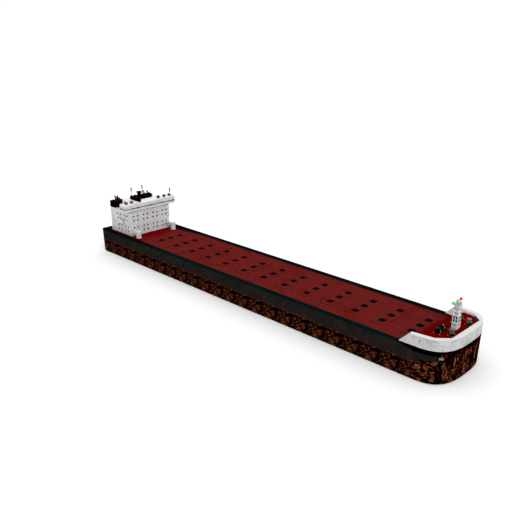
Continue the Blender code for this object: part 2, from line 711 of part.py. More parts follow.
def funnel():
    top = HOUSE_TOP_Z + FUNNEL_HEIGHT
    casing = box("funnel", (*FUNNEL_LOW, HOUSE_TOP_Z + SEAM), (*FUNNEL_HIGH, top), FUNNEL_BLACK)
    pipes = []
    for (x1, y1, z1), (x2, y2, z2), radius in FUNNEL_PIPES:
        pipes.append(cylinder("pipe", (x1, y1, top + z1), (x2, y2, top + z2), radius, 14))
    join(casing, *pipes)


def uptakes():
    # Two horizontal silencers joined by a beam that stands on the roof. The main pipe,
    # with its wide rim, and the radar's post rise from the beam.
    z = ROOF_TOP_Z + SEAM
    beamTop, half = z + UPTAKE_BEAM_HEIGHT, UPTAKE_BEAM_HALF
    group = box(
        "roof_uptakes", (UPTAKE_X - half, SILENCERS[0][0], z), (UPTAKE_X + half, SILENCERS[1][0], beamTop),
        FUNNEL_BLACK)
    parts = []
    for y, radius, aft, fore in SILENCERS:
        mid = z + SILENCER_GAP + radius
        parts.append(cylinder("silencer", (aft, y, mid), (fore, y, mid), radius, 18))
        parts.append(cylinder("foot", (fore - 0.12, y, z), (fore - 0.12, y, z + 0.1), 0.05, 8))
    mouth, rim = UPTAKE_TOP_Z - 0.16, UPTAKE_TOP_Z - UPTAKE_RIM_HEIGHT
    parts.append(turned("uptake", (UPTAKE_X, UPTAKE_Y, 0), (
        (0, mouth), (UPTAKE_MOUTH_RADIUS - 0.04, mouth), (UPTAKE_MOUTH_RADIUS, UPTAKE_TOP_Z),
        (UPTAKE_RIM_RADIUS, UPTAKE_TOP_Z), (UPTAKE_RIM_RADIUS, rim),
        (UPTAKE_RADIUS, rim - 0.06), (UPTAKE_RADIUS, z + 0.05), (0, z + 0.05))))
    # Slanted pipes from the silencers, and the radar's post.
    parts.append(cylinder("pipe", (-12.66, 0.80, z + 0.15), (-12.64, 0.60, z + 0.48), 0.05, 12))
    parts.append(cylinder("pipe", (-12.56, -0.78, z + 0.26), (-12.56, -0.50, z + 0.36), 0.04, 12))
    parts.append(cylinder(
        "post", (UPTAKE_X, SCANNER_Y, beamTop - 0.02), (UPTAKE_X, SCANNER_Y, SCANNER_Z - 0.032), 0.032, 12))
    x, y, top = SILENCER_WHIP
    parts.append(whip(x, y, z + SILENCERS[0][1], top))
    join(group, *parts)


def scanner():
    half = SCANNER_LENGTH / 2
    box("radar_scanner", (UPTAKE_X - half, SCANNER_Y - 0.035, SCANNER_Z - 0.026),
        (UPTAKE_X + half, SCANNER_Y + 0.035, SCANNER_Z + 0.03), FUNNEL_BLACK)


def ventPosts():
    for side, label in ((-1, "starboard"), (1, "port")):
        y = side * POST_Y
        top = DECK_Z + POST_HEIGHT
        post = cylinder(
            f"vent_post_{label}", (POST_X, y, DECK_Z + SEAM), (POST_X, y, top - 0.05), 0.88 * POST_RADIUS, 20,
            material=WHITE_PAINT)
        cap = cylinder("cap", (POST_X, y, top - 0.06), (POST_X, y, top), POST_RADIUS, 20)
        duct = box(
            "duct", (HOUSE_FORE_X + SEAM, y - 0.10, DECK_Z + 0.26), (POST_X - 0.1, y + 0.10, top - 0.02))
        join(post, cap, duct)


def lifeboats():
    # An enclosed boat on a shelf that the side of the block carries.
    x, z = LIFEBOAT_X, LIFEBOAT_Z
    for side, label in ((-1, "starboard"), (1, "port")):
        wall = side * (HOUSE_HALF_WIDTH + SEAM)
        y = wall + side * (LIFEBOAT_WIDTH / 2 + 0.02)
        size = (LIFEBOAT_LENGTH / 2, LIFEBOAT_WIDTH / 2, LIFEBOAT_HEIGHT * 0.42)
        boat = ball(f"lifeboat_{label}", (x, y, z), 1.0, 16, size, WHITE_PAINT)
        canopy = ball("canopy", (x - 0.02, y, z + 0.04), 1.0, 14, LIFEBOAT_CANOPY)
        shelfZ = z - 0.13
        shelf = box("shelf", (x - 0.17, wall, shelfZ), (x + 0.17, y, shelfZ + 0.05))
        join(boat, canopy, shelf)


# Fore deck
def mastHoles(rows, across, radius, tall):
    # Tunnels through the mast from side to side, and slightly narrower ones from fore to aft.
    reach = 0.3
    tunnels = []
    for z in rows:
        for offset in across:
            x, y = FOREMAST_X + offset, offset
            tunnels.append(cylinder("hole", (x, -reach, z), (x, reach, z), radius, 12, tall=tall))
            tunnels.append(cylinder(
                "hole", (FOREMAST_X - reach, y, z + 0.003), (FOREMAST_X + reach, y, z + 0.003),
                0.93 * radius, 11, tall=tall))
    return tunnels


def mastBox(name, size, low, high, material=None):
    return box(name, (FOREMAST_X - size[0], -size[1], low), (FOREMAST_X + size[0], size[1], high), material)


def foremast():
    base = mastBox("foremast", MAST_BASE, FORE_DECK_Z + SEAM, MAST_BASE_TOP_Z, WHITE_PAINT)
    cut(base, *mastHoles(*MAST_BASE_HOLES))
    tower = mastBox("tower", MAST_TOWER, MAST_BASE_TOP_Z - 0.01, MAST_TOWER_TOP_Z)
    cut(tower, *mastHoles(*MAST_TOWER_HOLES))
    column = mastBox("column", MAST_COLUMN, MAST_TOWER_TOP_Z - 0.01, MAST_COLUMN_TOP_Z)
    cut(column, *mastHoles(*MAST_COLUMN_HOLES))
    platform = mastBox("platform", MAST_PLATFORM, MAST_COLUMN_TOP_Z - 0.03, MAST_COLUMN_TOP_Z)
    # The post with the lights' arm stands aft of the floodlight.
    armX, lampX, foot = FOREMAST_X - 0.075, FOREMAST_X + 0.06, MAST_COLUMN_TOP_Z - 0.02
    parts = [
        cylinder("post", (armX, 0, foot), (armX, 0, MAST_TOP_Z), 0.035, 10),
        box("arm", (armX - 0.025, -MAST_ARM_HALF, MAST_ARM_Z - 0.05),
            (armX + 0.025, MAST_ARM_HALF, MAST_ARM_Z - 0.01)),
        cylinder("lamp_foot", (lampX, 0, foot), (lampX, 0, MAST_ARM_Z - 0.03), 0.025, 8),
        cylinder("floodlight", (FOREMAST_X - 0.01, 0, MAST_ARM_Z - 0.02),
                 (FOREMAST_X + 0.12, 0, MAST_ARM_Z - 0.04), 0.06, 16, 0.10),
    ]
    for side in (-1, 1):
        centre = (armX, side * MAST_ARM_HALF, MAST_ARM_Z + 0.03)
        parts.append(ball("light", centre, MAST_LIGHT_RADIUS, 14))
    return join(base, tower, column, platform, *parts)


def windlass(side, label):
    # A base plate, a motor box outboard, a gear box inboard and a drum that turns between them.
    z = FORE_DECK_Z + SEAM
    x, half = WINDLASS_X, WINDLASS_HALF_LENGTH
    axisZ = z + WINDLASS_AXIS_HEIGHT
    motorY, gearY = side * 0.86, side * 0.55
    inner, outer = side * WINDLASS_INNER_Y, side * WINDLASS_OUTER_Y
    frame = box(f"windlass_{label}", (x - half, inner, z), (x + half, outer, z + 0.025), MACHINE_BLACK)
    motor = box("motor", (x - 0.15, motorY, z + 0.02), (x + 0.15, outer - side * 0.02, z + 0.20))
    cover = cylinder("cover", (x, motorY, z + 0.17), (x, outer - side * 0.06, z + 0.17), 0.09, 16)
    gear = box("gear", (x - 0.12, inner + side * 0.01, z + 0.02), (x + 0.12, gearY, z + 0.26))
    join(frame, motor, cover, gear)
    bore = cylinder("bore", (x, gearY - side * 0.08, axisZ), (x, motorY + side * 0.08, axisZ), 0.027, 14)
    cut(frame, bore)
    low, high = gearY + side * 0.008, motorY - side * 0.008
    drum = cylinder(
        f"windlass_drum_{label}", (x, low, axisZ), (x, high, axisZ), WINDLASS_DRUM_RADIUS, 20,
        material=MACHINE_BLACK)
    flanges = []
    for start in (low, (low + high) / 2 - side * 0.012, high - side * 0.024):
        end = start + side * 0.024
        flanges.append(cylinder("flange", (x, start, axisZ), (x, end, axisZ), WINDLASS_FLANGE_RADIUS, 24))
    shaft = cylinder("shaft", (x, gearY - side * 0.06, axisZ), (x, motorY + side * 0.06, axisZ), 0.025, 14)
    join(drum, shaft, *flanges)


def capstan(side, label):
    # A barrel with a waist that turns on a pin in its base.
    z = FORE_DECK_Z + SEAM
    x, y = CAPSTAN_X, side * CAPSTAN_Y
    long, wide = CAPSTAN_BASE
    baseTop, top = z + CAPSTAN_BASE_HEIGHT, z + CAPSTAN_TOP_HEIGHT
    base = box(
        f"capstan_base_{label}", (x - long, y - wide, z), (x + long, y + wide, baseTop), MACHINE_BLACK)
    socket = cylinder(
        "socket", (x, y, z + 0.03), (x, y, baseTop + 0.1), CAPSTAN_PIN + PIN_CLEARANCE, 16)
    cut(base, socket)
    low, pin = baseTop + 0.006, CAPSTAN_PIN
    turned(f"capstan_{label}", (x, y, 0), (
        (0, top), (CAPSTAN_RADIUS, top), (CAPSTAN_RADIUS, top - 0.05), (CAPSTAN_WAIST, top - 0.075),
        (CAPSTAN_WAIST, low + 0.06), (CAPSTAN_RADIUS, low + 0.04), (CAPSTAN_RADIUS, low),
        (pin, low), (pin, z + 0.035), (0, z + 0.035)), 24, DRUM_GREY)


sternBlock()
holdBlock("hull_block_aft", BLOCK_JOINTS_X[0], BLOCK_JOINTS_X[1], 0, 3)
holdBlock("hull_block_middle", BLOCK_JOINTS_X[1], BLOCK_JOINTS_X[2], 4, 7)
holdBlock("hull_block_fore", BLOCK_JOINTS_X[2], BLOCK_JOINTS_X[3], 8, 12)
bowBlock()
bulwark()
anchors()
for row in range(ROWS):
    hatchCover(row)
rudder()
propeller()
houses()
bridge()
funnel()
uptakes()
scanner()
ventPosts()
lifeboats()
foremast()
for side, label in ((-1, "starboard"), (1, "port")):
    windlass(side, label)
    capstan(side, label)
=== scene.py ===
# Looks of the bulk carrier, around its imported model. Metres, +X to the bow, +Y to port.
import math
import bpy
import bmesh
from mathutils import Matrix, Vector


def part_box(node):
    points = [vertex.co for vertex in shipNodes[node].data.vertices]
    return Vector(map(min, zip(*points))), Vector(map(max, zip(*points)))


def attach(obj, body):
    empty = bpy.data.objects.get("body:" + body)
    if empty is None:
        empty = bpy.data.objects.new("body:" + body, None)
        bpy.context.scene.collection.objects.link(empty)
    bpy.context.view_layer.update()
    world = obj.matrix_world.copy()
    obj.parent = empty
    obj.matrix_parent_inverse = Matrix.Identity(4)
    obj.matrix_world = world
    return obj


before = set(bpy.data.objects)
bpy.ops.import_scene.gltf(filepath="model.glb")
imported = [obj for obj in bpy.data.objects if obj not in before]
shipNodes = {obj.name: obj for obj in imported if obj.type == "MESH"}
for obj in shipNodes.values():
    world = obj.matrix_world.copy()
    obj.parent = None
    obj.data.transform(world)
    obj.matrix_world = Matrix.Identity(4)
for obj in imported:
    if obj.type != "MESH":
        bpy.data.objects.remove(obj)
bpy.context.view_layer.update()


# The camera looks from off the starboard bow.
view = {"place": (26.217, -26.356, 15.713), "lookAt": (-0.139, 0.0, 2.536), "angle": 45.0}


def placeCamera():
    lens = bpy.data.cameras.new("camera")
    lens.angle = math.radians(view["angle"])
    lens.clip_end = 300
    camera = bpy.data.objects.new("camera", lens)
    bpy.context.scene.collection.objects.link(camera)
    camera.location = view["place"]
    towards = Vector(view["lookAt"]) - Vector(view["place"])
    camera.rotation_euler = towards.to_track_quat("-Z", "Y").to_euler()
    bpy.context.scene.camera = camera


placeCamera()
print("camera placed")

# Places on the ship that the finishes and the fittings go by, read from the frame.
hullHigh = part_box("hull_block_middle")[1]
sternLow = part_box("hull_stern")[0]
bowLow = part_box("hull_bow")[0]
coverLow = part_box("hatch_cover_01")[0]
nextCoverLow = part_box("hatch_cover_02")[0]
houseLow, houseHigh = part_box("upper_house")
lowerLow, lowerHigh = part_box("lower_house")
wingLow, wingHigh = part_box("wheelhouse")
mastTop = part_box("foremast")[1].z
coverCount = sum(name.startswith("hatch_cover") for name in shipNodes)
sides = (("starboard", -1), ("port", 1))

ship = {
    "gunwaleWidth": 0.18,
    "gunwaleRise": 0.12,        # from the main deck to the gunwale's top
    "foreDeckRise": 0.56,       # from the main deck, as the next
    "roofRise": 2.436,          # to the top of the bridge's roof
    "coverMiddle": 0.357,       # from a hatch cover's aft edge to its middle
}
hatchBay = nextCoverLow.x - coverLow.x
firstHatchX = coverLow.x + ship["coverMiddle"]
halfBeam = hullHigh.y
gunwaleZ = hullHigh.z
deckZ = gunwaleZ - ship["gunwaleRise"]
innerY = halfBeam - ship["gunwaleWidth"]
innerSternX = sternLow.x + ship["gunwaleWidth"]
roofZ = deckZ + ship["roofRise"]


# Node trees written as plain arithmetic
class Amount:  # a number that changes over a surface
    def __init__(self, bench, socket):
        self.bench = bench
        self.socket = socket

    def __add__(self, other):
        return self.bench.maths("ADD", self, other)

    __radd__ = __add__

    def __sub__(self, other):
        return self.bench.maths("SUBTRACT", self, other)

    def __rsub__(self, other):
        return self.bench.maths("SUBTRACT", other, self)

    def __mul__(self, other):
        return self.bench.maths("MULTIPLY", self, other)

    __rmul__ = __mul__

    def __truediv__(self, other):
        return self.bench.maths("DIVIDE", self, other)

    def __gt__(self, other):
        return self.bench.maths("GREATER_THAN", self, other)

    def __lt__(self, other):
        return self.bench.maths("LESS_THAN", self, other)


class Bench:  # a node tree being put together
    def __init__(self, tree):
        self.tree = tree

    def feed(self, socket, value):
        if isinstance(value, Amount):
            value = value.socket
        if isinstance(value, bpy.types.NodeSocket):
            self.tree.links.new(value, socket)
        elif socket.type == "RGBA" and len(value) == 3:
            socket.default_value = (*value, 1.0)
        else:
            socket.default_value = value

    def node(self, kind, settings=None, inputs=None):
        made = self.tree.nodes.new(kind)
        for name, value in (settings or {}).items():
            setattr(made, name, value)
        for name, value in (inputs or {}).items():
            self.feed(made.inputs[name], value)
        return made

    def maths(self, operation, *values):
        made = self.node("ShaderNodeMath", {"operation": operation}, dict(enumerate(values)))
        return Amount(self, made.outputs[0])


def photoColour(red, green, blue):
    # A colour read from the photograph, taken back to the paint that gives it in this light.
    linear = []
    for level in (red, green, blue):
        level /= 255
        linear.append(level / 12.92 if level <= 0.04045 else ((level + 0.055) / 1.055) ** 2.4)
    return tuple(value * studio["paintShare"] for value in linear)


studio = {
    "paintShare": 0.92,         # of a photographed colour's brightness that is the paint's own
    "worldStrength": 1.02,
    "sunStrength": 1.0,
    "sunSoftness": 30.0,
    "sunFrom": (1.2, -0.5, 1.05),
    "floorColour": (0.93, 0.93, 0.93),
    "floorSize": 400.0,
}


class Finish(Bench):  # one material
    def __init__(self, name):
        self.material = bpy.data.materials.new(name)
        self.material.use_nodes = True
        super().__init__(self.material.node_tree)
        self.shader = self.tree.nodes["Principled BSDF"]
        place = self.node("ShaderNodeTexCoord").outputs["Object"]
        self.place = place
        axes = self.node("ShaderNodeSeparateXYZ", inputs={0: place})
        self.x, self.y, self.z = (Amount(self, axes.outputs[i]) for i in range(3))
        facing = self.node("ShaderNodeNewGeometry").outputs["Normal"]
        turned = self.node("ShaderNodeSeparateXYZ", inputs={0: facing})
        self.facingX, self.facingY, self.facingZ = (Amount(self, turned.outputs[i]) for i in range(3))
        self.offY = self.maths("ABSOLUTE", self.y)

    def stretched(self, x=1.0, y=1.0, z=1.0, at=None):
        made = self.node("ShaderNodeMapping", inputs={"Vector": at or self.place, "Scale": (x, y, z)})
        return made.outputs[0]

    def noise(self, scale, detail=4.0, roughness=0.55, distortion=0.0, at=None):
        made = self.node("ShaderNodeTexNoise", inputs={
            "Vector": at or self.place, "Scale": scale, "Detail": detail,
            "Roughness": roughness, "Distortion": distortion})
        return Amount(self, made.outputs["Fac"])

    def cells(self, scale, at):
        # Distance from the nearest edge of a pattern of cells.
        made = self.node("ShaderNodeTexVoronoi", {"feature": "DISTANCE_TO_EDGE"}, {
            "Vector": at, "Scale": scale})
        return Amount(self, made.outputs["Distance"])

    def warped(self, at, scale, amount):
        # Coordinates pushed about by noise, so that edges wander.
        push = self.node("ShaderNodeTexNoise", inputs={"Vector": at, "Scale": scale, "Detail": 3.0})
        centred = self.node("ShaderNodeVectorMath", {"operation": "SUBTRACT"}, {
            0: push.outputs["Color"], 1: (0.5, 0.5, 0.5)})
        sized = self.node("ShaderNodeVectorMath", {"operation": "SCALE"}, {
            0: centred.outputs[0], "Scale": amount})
        return self.node("ShaderNodeVectorMath", {"operation": "ADD"}, {
            0: at, 1: sized.outputs[0]}).outputs[0]

    def smooth(self, value, low, high):
        # 0 below low, 1 above high and a soft step between; low may be above high.
        made = self.node("ShaderNodeMapRange", {"interpolation_type": "SMOOTHSTEP"}, {
            "Value": value, "From Min": low, "From Max": high})
        return Amount(self, made.outputs[0])

    def near(self, value, middle, reach, soft=0.002):
        # 1 within reach of a place, 0 beyond.
        away = self.maths("ABSOLUTE", value - middle)
        return self.smooth(away, reach + soft, reach - soft)

    def fold(self, value, period, start=0.0):
        # Distance from the nearest of a row of places, one each period from start.
        turns = self.maths("ROUND", (value - start) / period)
        return self.maths("ABSOLUTE", value - start - turns * period)

    def both(self, *masks):
        whole = masks[0]
        for mask in masks[1:]:
            whole = whole * mask
        return whole

    def either(self, first, second):
        return self.maths("MAXIMUM", first, second)

    def mix(self, under, over, mask):
        made = self.node("ShaderNodeMix", {"data_type": "RGBA"}, {0: mask, 6: under, 7: over})
        return made.outputs[2]

    def level(self, value, low, high):
        # A number that goes from low to high as value goes from 0 to 1.
        return value * (high - low) + low

    def finish(self, colour, roughness, height=None, strength=0.3, depth=0.004, metallic=0.0, gloss=0.0):
        self.shader.inputs["Specular IOR Level"].default_value = gloss
        self.feed(self.shader.inputs["Base Color"], colour)
        self.feed(self.shader.inputs["Roughness"], roughness)
        self.feed(self.shader.inputs["Metallic"], metallic)
        if height is not None:
            bump = self.node("ShaderNodeBump", inputs={
                "Height": height, "Strength": strength, "Distance": depth})
            self.feed(self.shader.inputs["Normal"], bump.outputs[0])
        return self.material


# Studio
def buildStudio():
    half = studio["floorSize"] / 2
    mesh = bpy.data.meshes.new("floor")
    mesh.from_pydata(
        [(-half, -half, -0.002), (half, -half, -0.002), (half, half, -0.002), (-half, half, -0.002)],
        [], [(0, 1, 2, 3)])
    floor = bpy.data.objects.new("floor", mesh)
    bpy.context.scene.collection.objects.link(floor)
    plain = bpy.data.materials.new("floorPlain")
    plain.use_nodes = True
    shader = plain.node_tree.nodes["Principled BSDF"]
    shader.inputs["Base Color"].default_value = (*studio["floorColour"], 1.0)
    shader.inputs["Roughness"].default_value = 0.9
    mesh.materials.append(plain)
    world = bpy.data.worlds.new("studio")
    world.use_nodes = True
    background = world.node_tree.nodes["Background"]
    background.inputs["Color"].default_value = (1.0, 1.0, 1.0, 1.0)
    background.inputs["Strength"].default_value = studio["worldStrength"]
    bpy.context.scene.world = world
    sun = bpy.data.lights.new("sun", "SUN")
    sun.energy = studio["sunStrength"]
    sun.angle = math.radians(studio["sunSoftness"])
    lamp = bpy.data.objects.new("sun", sun)
    bpy.context.scene.collection.objects.link(lamp)
    lamp.rotation_euler = Vector(studio["sunFrom"]).to_track_quat("Z", "Y").to_euler()
    bpy.context.scene.view_settings.view_transform = "Standard"


buildStudio()
print("studio lit")


# Finishes
hullLook = {
    "paintLine": 0.99,          # top of the antifouling above the keel
    "bowStep": 1.27,            # its top over the first metre of the bow
    "bowStepX": 13.15,
    "bowBareX": 14.03,          # forward of this the side is bare up to the bulwark
    "bowPatternX": (12.6, 12.9),
    "plateLength": 1.18,        # between the dark butt seams below the paint line
    "seamLean": 0.33,           # forward for each metre up
    "seamWidth": 0.11,
    "strakeRise": 0.41,         # between the long weld seams of the side
    "buttX": 0.35,              # of one of the seams across, a hatch bay apart
    "bandDepth": 0.30,          # painted shadow, black, below the bulwark
    "bandX": (11.5, 13.0),      # where it starts, and where it has its full depth
    "fleckX": (14.1, 14.3),     # forward of this the band has red flecks
    "fleckY": (0.4, 0.9),
    "stripDepth": 0.17,         # the gunwale's green runs this far down the side
    "stripFadeX": (-6.0, -10.5),
    "stripBlackX": 12.3,
    "railShadeX": (-8.0, -10.5),    # where painted shade along the deck's edge begins
    # where painted shade in patches on the deck begins, near the house
    "houseShadeX": (-10.8, -11.5),
    "holdHalf": 1.2,
    "holdFloor": 0.15,
    "holdStart": 4.0,           # forward of the stern
    "topsides": photoColour(27, 25, 23),
    "topsidesLight": photoColour(38, 31, 27),
    "rust": photoColour(86, 41, 22),
    "rustLight": photoColour(134, 68, 40),
    "rustDark": photoColour(42, 19, 11),
    "crack": photoColour(2, 1, 2),
    "fleck": photoColour(118, 2, 1),
    "gunwale": photoColour(1, 23, 21),
    "gunwaleAft": photoColour(2, 9, 9),
    "hold": photoColour(74, 38, 30),
}
deckLook = {
    "red": photoColour(101, 29, 27),
    "redLight": photoColour(112, 36, 33),
    "redDark": photoColour(88, 22, 21),
    # painted light for the covers' sides
    "redSideLit": photoColour(124, 40, 37),
    "foreShadeRed": photoColour(104, 0, 0),
    "houseShadeRed": photoColour(108, 2, 2),
    # painted shade on the deck
    "deckShade": photoColour(24, 4, 3),
    "hatch": photoColour(3, 9, 11),
    "hatchDust": photoColour(20, 22, 24),
    "hatchRim": photoColour(26, 14, 12),
    "panelHalf": 0.1785,
    "panelPitch": 0.84,
    "panelHalo": 0.014,         # the black round a panel's edge
    "panelRim": (0.022, 0.006), # a worn rim, between these from a panel's edge
    "coverEdge": (0.340, 0.356),
    "coverEnd": (1.236, 1.252),
    "foreX": (21.1, 21.7),      # forward of the first hatch, where painted shade deepens the red
    # aft of the first hatch, where painted shade deepens the red next to the house
    "houseX": (-0.3, -1.6),
}


def deckColour(paint):
    # Red deck paint, scuffed and a little uneven, with painted shade deepening the red on the fore deck and
    # next to the house.
    broad = paint.noise(0.9, 5, 0.6)
    fine = paint.noise(22.0, 6, 0.7)
    red = paint.mix(deckLook["redDark"], deckLook["red"], paint.smooth(broad, 0.28, 0.52))
    red = paint.mix(red, deckLook["redLight"], paint.smooth(fine, 0.56, 0.80) * 0.6)
    onX = paint.x - firstHatchX
    red = paint.mix(red, deckLook["foreShadeRed"], paint.smooth(onX + broad * 0.3, *deckLook["foreX"]))
    # Painted shade: the red deepens next to the house.
    aft = paint.smooth(onX + broad * 0.8, *deckLook["houseX"])
    return paint.mix(red, deckLook["houseShadeRed"], aft * 0.9)


def bottomColour(paint, bow, fleck):
    # Antifouling: rusty islands between black cracks. Along the side the pattern comes again with
    # every plate, and it stands upright on the bow's front.
    look = hullLook
    upright = paint.smooth(paint.facingX, 0.35, 0.75)
    plateX = paint.maths("FLOORED_MODULO", paint.x - paint.z * look["seamLean"], look["plateLength"])
    onPlate = paint.node("ShaderNodeCombineXYZ", inputs={0: plateX, 1: paint.y, 2: paint.z}).outputs[0]
    small = paint.warped(paint.stretched(4.9, 4.9, 6.4, onPlate), 1.3, 0.6)
    large = paint.warped(paint.stretched(2.5, 2.6, 4.6), 1.5, 0.9)
    tall = paint.warped(paint.stretched(4.2, 4.4, 1.5), 1.6, 0.8)
    shares = ((1.0 - bow) * (1.0 - upright), bow * (1.0 - upright), upright)
    mark, web = 0.0, 0.0
    for at, size, share in zip((small, large, tall), (1.1, 1.25, 1.35), shares):
        mark = paint.noise(size, 6, 0.68, 0.5, at) * share + mark
        web = paint.cells(0.95, at) * share + web
    island = paint.both(paint.smooth(mark, 0.46, 0.53), paint.smooth(web, 0.05, 0.14))
    rust = paint.mix(look["rustDark"], look["rust"], paint.smooth(fleck, 0.34, 0.56))
    rich = paint.smooth(mark + fleck * 0.35, 0.66, 0.80) * (0.7 + paint.either(bow, upright) * 0.3)
    rust = paint.mix(rust, look["rustLight"], rich)
    bottom = paint.mix(look["crack"], rust, island)
    side = paint.smooth(paint.offY, halfBeam - 0.05, halfBeam - 0.02)
    seam = paint.smooth(plateX, look["seamWidth"] + 0.02, look["seamWidth"] - 0.02)
    return paint.mix(bottom, look["crack"], paint.both(seam, side, 1.0 - bow) * 0.9), island


def topColour(paint, green):
    # Topsides, dark and mottled, with the gunwale's green running down from the edge.
    look = hullLook
    mottle = paint.noise(1.6, 6, 0.62)
    streaks = paint.noise(2.2, 4, 0.6, 0.0, paint.stretched(3.0, 3.0, 0.5))
    light = paint.smooth(mottle + streaks * 0.3, 0.60, 0.82)
    top = paint.mix(look["topsides"], look["topsidesLight"], light)
    rustStreak = paint.smooth(paint.noise(1.5, 4, 0.6, 0.0, paint.stretched(4.0, 4.0, 0.3)), 0.62, 0.78)
    top = paint.mix(top, look["rustDark"], rustStreak * 0.3)
    down = (gunwaleZ - paint.z) + (paint.noise(9.0, 4, 0.7) - 0.5) * 0.22
    return paint.mix(top, green, paint.smooth(down, look["stripDepth"] + 0.03, look["stripDepth"] - 0.12))


def shadowBand(paint, skin):
    # Painted shadow: black below the bulwark, ragged along its foot, with red flecks at the front.
    look = hullLook
    startX = look["bandX"][0]
    foot = gunwaleZ - paint.smooth(paint.x, *look["bandX"]) * look["bandDepth"]
    ragged = (paint.noise(4.0, 4, 0.6) - 0.5) * 0.12
    band = paint.smooth(paint.z + ragged, foot - 0.02, foot + 0.06) * (paint.x > startX)
    flecks = paint.both(
        paint.smooth(paint.noise(5.5, 3, 0.6, 0.6), 0.55, 0.60),
        paint.smooth(paint.z, gunwaleZ - 0.34, gunwaleZ - 0.24),
        paint.smooth(paint.x, *look["fleckX"]), paint.smooth(paint.offY, *look["fleckY"]))
    return paint.mix(skin, paint.mix(look["crack"], look["fleck"], flecks), band)


def hullPaint():
    paint = Finish("hullPaint")
    look = hullLook
    up = paint.facingZ > 0.35
    # Deck, gunwale and holds, told apart by height and by distance from the middle.
    inside = paint.both(paint.offY < innerY + 0.003, paint.x > innerSternX - 0.003)
    deck = paint.both(up, paint.z > deckZ - 0.004, inside)
    gunwale = paint.either(
        paint.both(up, paint.z > gunwaleZ - 0.004, 1.0 - deck),
        paint.both(1.0 - up, paint.z > deckZ + 0.001, inside))
    hold = paint.both(
        paint.offY < look["holdHalf"], paint.z < deckZ - 0.001, paint.facingZ > -0.5,
        paint.z > look["holdFloor"], paint.x > sternLow.x + look["holdStart"], paint.x < bowLow.x)
    bow = paint.smooth(paint.x, *look["bowPatternX"])
    fleck = paint.noise(9.0, 5, 0.7)
    bottom, island = bottomColour(paint, bow, fleck)
    green = paint.mix(look["gunwale"], look["gunwaleAft"], paint.smooth(paint.x, *look["stripFadeX"]))
    # The paint line steps up at the bow, and a thin rusty edge runs along it.
    line = look["paintLine"] + (paint.x > look["bowStepX"]) * (look["bowStep"] - look["paintLine"])
    line = line + (paint.x > look["bowBareX"]) * 2.0 + (paint.noise(5.0, 3) - 0.5) * 0.03
    below = paint.z < line
    under = line - paint.z
    edge = paint.both(paint.smooth(under, 0.0, 0.01), paint.smooth(under, 0.05, 0.02))
    bottom = paint.mix(bottom, look["rust"], edge * (1.0 - bow) * 0.75)
    skin = shadowBand(paint, paint.mix(topColour(paint, green), bottom, below))
    # Painted shade darkens the deck along the gunwale near the house, and in patches round the house.
    nearRail = paint.smooth(paint.offY, innerY - 0.46, innerY - 0.16)
    nearRail = nearRail * paint.smooth(paint.x, *look["railShadeX"])
    nearHouse = paint.smooth(paint.x, *look["houseShadeX"]) * paint.smooth(paint.noise(2.0, 4), 0.2, 0.6)
    deckShade = paint.either(nearRail * 0.92, nearHouse * 0.3)
    red = paint.mix(deckColour(paint), deckLook["deckShade"], deckShade)
    strip = paint.mix(green, look["topsides"], paint.smooth(paint.noise(6.0, 4), 0.5, 0.75) * 0.4)
    strip = paint.mix(strip, look["crack"], paint.x > look["stripBlackX"])
    rusted = paint.smooth(paint.noise(3.0, 6, 0.65), 0.42, 0.62)
    colour = paint.mix(skin, red, deck)
    colour = paint.mix(colour, strip, gunwale)
    colour = paint.mix(colour, paint.mix(look["hold"], look["rustDark"], rusted), hold)
    # Plating shows as shallow steps on the topsides, and weld seams on the deck.
    butts = paint.smooth(paint.fold(paint.x, hatchBay, look["buttX"]), 0.010, 0.004)
    strakes = paint.smooth(paint.fold(paint.z, look["strakeRise"], look["paintLine"]), 0.010, 0.004)
    plates = paint.either(butts, strakes * (1.0 - deck))
    height = island * below * (1.0 - deck) * 0.8 + fleck * 0.25 + plates * 0.5
    roughness = paint.level(paint.smooth(fleck, 0.3, 0.8), 0.58, 0.80)
    return paint.finish(colour, roughness, height, 0.55, 0.008)


def coverPaint():
    # Hatch covers: red like the deck, with three black panels; painted light makes their sides a lighter
    # red.
    paint = Finish("coverPaint")
    look = deckLook
    half = look["panelHalf"]
    onX = paint.fold(paint.x, hatchBay, firstHatchX)
    onY = paint.fold(paint.y, look["panelPitch"])
    reach = half + look["panelHalo"]
    panel = paint.both(onX < reach, onY < reach, paint.offY < hullLook["holdHalf"], paint.facingZ > -0.5)
    edge = paint.either(paint.smooth(onX, *look["coverEdge"]), paint.smooth(paint.offY, *look["coverEnd"]))
    red = paint.mix(deckColour(paint), look["redDark"], edge * 0.3)
    # Painted light: the covers' sides are a lighter red than their tops.
    red = paint.mix(red, look["redSideLit"], (paint.facingZ < 0.5) * (paint.facingZ > -0.5))
    dust = paint.noise(14.0, 5, 0.6)
    black = paint.mix(look["hatch"], look["hatchDust"], paint.smooth(dust, 0.5, 0.8) * 0.5)
    rimFrom, rimTo = (half - gap for gap in look["panelRim"])
    rim = paint.either(paint.smooth(onX, rimFrom, rimTo), paint.smooth(onY, rimFrom, rimTo))
    black = paint.mix(black, look["hatchRim"], rim * 0.6)
    colour = paint.mix(red, black, panel)
    height = paint.noise(30.0, 4) * 0.5 + (1.0 - edge) * 0.4
    return paint.finish(colour, paint.level(dust, 0.5, 0.75), height, 0.35, 0.003)


whiteLook = {
    "base": photoColour(202, 202, 202),
    "bulwark": photoColour(189, 188, 189),
    "bright": photoColour(220, 220, 220),
    # The next three are painted light: the white as it shows on faces lit from above.
    "top": photoColour(246, 246, 245),
    "houseTopLit": photoColour(206, 206, 206),
    "capTopLit": photoColour(222, 222, 221),
    "patch": photoColour(156, 156, 156),
    "stain": photoColour(104, 92, 82),
}


